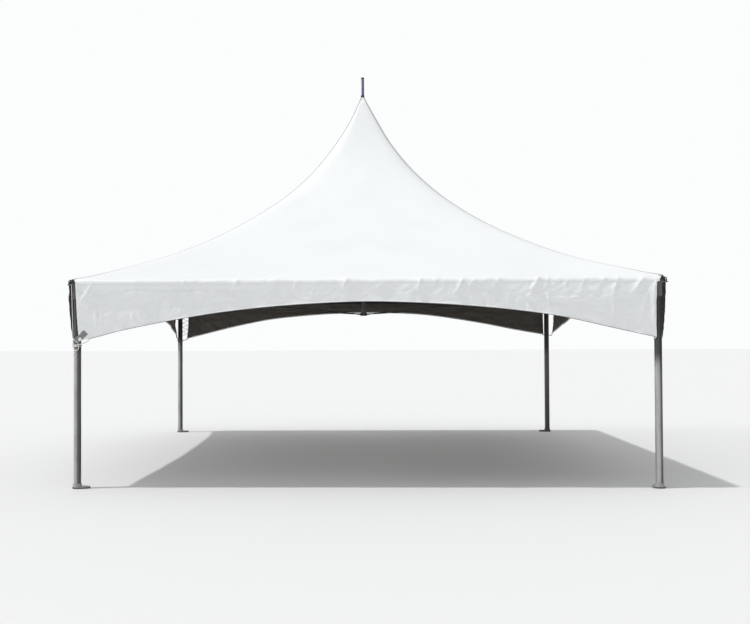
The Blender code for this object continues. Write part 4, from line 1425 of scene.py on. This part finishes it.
def cord_route(corner):
    """The corner cord's points, from one hem to the other."""
    first, second = CORNER_SKIRTS[corner]
    height, inset, turns = CORD_TIES[corner]
    centre = leg_axis(corner)
    radius = LEG_RADIUS + GAP + CORD_RADIUS
    drop = Vector((0, 0, CORD_LEAD))
    start = hem_end(*first, inset)
    end = hem_end(*second, CORD_INSET)
    leads = [end - drop, end]
    if turns:
        outwards = Vector((end.x - centre.x, end.y - centre.y, 0)).normalized()
        past = outwards * (radius + 2 * CORD_RADIUS + PASS_CLEAR)
        leads.insert(0, centre + past + Vector((0, 0, height - CORD_PITCH * (turns + 0.25))))
    first_angle = tangent_angle(start, centre, radius, -1)
    last_angle = tangent_angle(leads[0], centre, radius, 1)
    sweep = (first_angle - last_angle) % (2 * pi) + 2 * pi * turns
    steps = max(round(sweep / CORD_STEP), 1)
    points = [start, start - drop]
    for step in range(steps + 1):
        angle = first_angle - sweep * step / steps
        low = height - CORD_PITCH * sweep / (2 * pi) * step / steps
        points.append(Vector((centre.x + radius * cos(angle), centre.y + radius * sin(angle), low)))
    return points + leads


def make_cord(name, nodes, points, radius, finish=BRAID):
    """A braided cord through the points."""
    _, length = make_bar(name, smooth_path(points, radius), radius, 16, finish, nodes)
    return length


for corner in CORNER_SIGNS:
    # painted shade: the back cords are made dark brown
    finish = SHADE_DARK_BRAID if corner.startswith("back") else BRAID
    length = make_cord(f"corner_tie_{corner}", [f"corner_cord_{corner}"], cord_route(corner),
                       CORD_RADIUS, finish)
    print("corner cord", corner, round(length, 3), "m")

# %% [markdown]
# The front left cord's tail slants over the leg and its turns, and hangs in a small bow with a tight
# eye below it. Its points are given across the leg and up, and the leg's own roundness says how far
# out they lie.

# %% The knot's tail
# right of the leg's axis, height, and how far off the leg, in millimetres
TAIL = in_metres([
    (-34, 1536, 0), (-30, 1528, 1), (6.7, 1498, 1), (20, 1480, 9), (24, 1458, 11), (19, 1430, 4),
    (6, 1415, 1), (-10, 1414, 1), (-26, 1432, 4), (-32, 1454, 11), (-31, 1472, 9),
])
EYE = in_metres([
    (-8, 1410, 6), (-13, 1394, 2), (-28, 1380, 0), (-26, 1361, 0), (-13, 1354, 0), (-3, 1366, 0),
    (-4, 1382, 1), (-13, 1392, 6),
])


def before_leg(corner, points, radius):
    """Points on the front of a leg, a cord's radius off its surface."""
    axis = leg_axis(corner)
    reach = LEG_RADIUS + GAP + radius
    return [Vector((axis.x + across, axis.y - sqrt(reach ** 2 - across ** 2) - off, height))
            for across, height, off in points]


for name, points, radius in (("knot_tail", TAIL, 0.0045), ("knot_eye", EYE, 0.0032)):
    print(name, round(make_cord(name, [], before_leg("front_left", points, radius), radius), 3), "m")

# %% [markdown]
# Three thinner cords close what gaps are left. One is laced to and fro between the back left leg
# and its skirt, one runs straight down outside the front left corner, and one ties the left skirt
# to the back leg. They are held tight at both ends, so none of them sags.

# %% Lacing, drop cord and tie cord
LACE_RADIUS = 0.0035
LACE_TOP = 2.040
LACE_BOTTOM = 1.560
LACE_TURNS = 7
LACE_POINTS = 8
LACE_CLEAR = 0.001
FITTING_RADIUS = 0.0440
FITTING_BOTTOM = 1.940
DROP_RADIUS = 0.004
DROP_REACH = 0.068
DROP_ANGLE = radians(-27)
DROP_TOP = 2.0817
DROP_BOTTOM = 1.490
DROP_STEPS = 60
TIE_INSET = 0.030
TIE_BOTTOM = 1.320


def lacing_route():
    """To and fro between the leg and the edge of the back skirt, on the way down."""
    centre = leg_axis("back_left")
    reach = SKIRT_ENDS["back"][1] - LACE_CLEAR
    points = []
    total = LACE_TURNS * LACE_POINTS
    for step in range(total + 1):
        height = LACE_TOP + (LACE_BOTTOM - LACE_TOP) * step / total
        down = (SKIRT_TOP - height) / (SKIRT_TOP - hem_height("back", reach))
        held = drawn_in("back", reach, down) + LACE_RADIUS + 2 * LACE_CLEAR
        edge = Vector((-held, skirt_reach("back", reach, height) - CLOTH, 0))
        outwards = (edge - centre).normalized()
        held_by = FITTING_RADIUS if height > FITTING_BOTTOM - 2 * LACE_RADIUS else LEG_RADIUS
        leg_side = centre + outwards * (held_by + 2 * GAP + LACE_RADIUS)
        point = leg_side.lerp(edge, (1 - cos(2 * pi * step / LACE_POINTS)) / 2)
        points.append(Vector((point.x, point.y, height)))
    return points


def drop_route():
    """Straight down outside the front left corner."""
    place = corner_frame("front_left")
    reach = LEG_RADIUS + GAP + DROP_RADIUS
    high = Vector((DROP_REACH, 0, DROP_TOP))
    low = Vector((reach * cos(DROP_ANGLE), reach * sin(DROP_ANGLE), DROP_BOTTOM))
    return [place @ high.lerp(low, step / DROP_STEPS) for step in range(DROP_STEPS + 1)]


def tie_route():
    """From the left skirt's hem down to the back left leg."""
    centre = leg_axis("back_left")
    start = hem_end("left", -1, TIE_INSET)
    outwards = Vector((start.x - centre.x, start.y - centre.y, 0)).normalized()
    end = centre + outwards * (LEG_RADIUS + GAP + LACE_RADIUS) + Vector((0, 0, TIE_BOTTOM))
    drop = Vector((0, 0, CORD_LEAD))
    return [start, start - drop, end, end - drop]


for name, node, points, radius, finish in (
        ("lacing", "lacing_cord_back_left", lacing_route(), LACE_RADIUS, BRAID),
        ("drop_line", "drop_cord_front_left", drop_route(), DROP_RADIUS, BRAID),
        # the tie line's dark finish is painted shade
        ("tie_line", "tie_cord_back_left", tie_route(), LACE_RADIUS, SHADE_DARK_BRAID)):
    print(name, round(make_cord(name, [node], points, radius, finish), 3), "m")

# %% [markdown]
# A short grey webbing strap holds the front skirt's left corner down to the leg. It lies on the
# skirt and then turns round the tube, so it is a narrow grid moved onto both, with a thickness
# added outwards.

# %% Webbing strap
STRAP_WIDTH = 0.060
STRAP_LENGTH = 0.125
STRAP_SLOPE = radians(43)
STRAP_START = (-2.866, 1.600)
STRAP_TURN = 2.972
STRAP_CLEAR = 0.0016
STRAP_THICK = 0.0022
STRAP_GRID = (64, 20)


def strap_point(run, side):
    """A point of the strap, by metres along it and metres off its middle."""
    along = run * cos(STRAP_SLOPE) + side * sin(STRAP_SLOPE)
    height = STRAP_START[1] - run * sin(STRAP_SLOPE) + side * cos(STRAP_SLOPE)
    flat = STRAP_START[0] + STRAP_TURN
    held = min(STRAP_TURN - max(flat - along, 0), SKIRT_ENDS["front"][0])
    depth = skirt_reach("front", -held, height) + STRAP_CLEAR + SKIRT_INSET
    if along <= flat:
        return Vector((STRAP_START[0] - along, -depth, height))
    angle = -pi / 2 - (along - flat) / (LEG_RADIUS + SKIRT_LEAN / 2)
    radius = depth - LEG_AXIS
    return Vector((-STRAP_TURN + radius * cos(angle), -LEG_AXIS + radius * sin(angle), height))


def make_strap():
    """The strap as a grid with a thickness."""
    bm = new_surface()
    add_mapped(bm, *STRAP_GRID,
               lambda across, down: strap_point(STRAP_LENGTH * across, STRAP_WIDTH * (0.5 - down)),
               lambda across, down: (STRAP_WIDTH * down, STRAP_LENGTH * across))
    face_outwards(bm, Vector((0, -1, 0)))
    strap = make_piece(bm, "skirt_strap", WEBBING, ["webbing_strap_front_left"],
                       smooth=60, solid=False)
    thicken(strap, STRAP_THICK, 1)
    return strap


print("strap faces", len(make_strap().data.polygons))
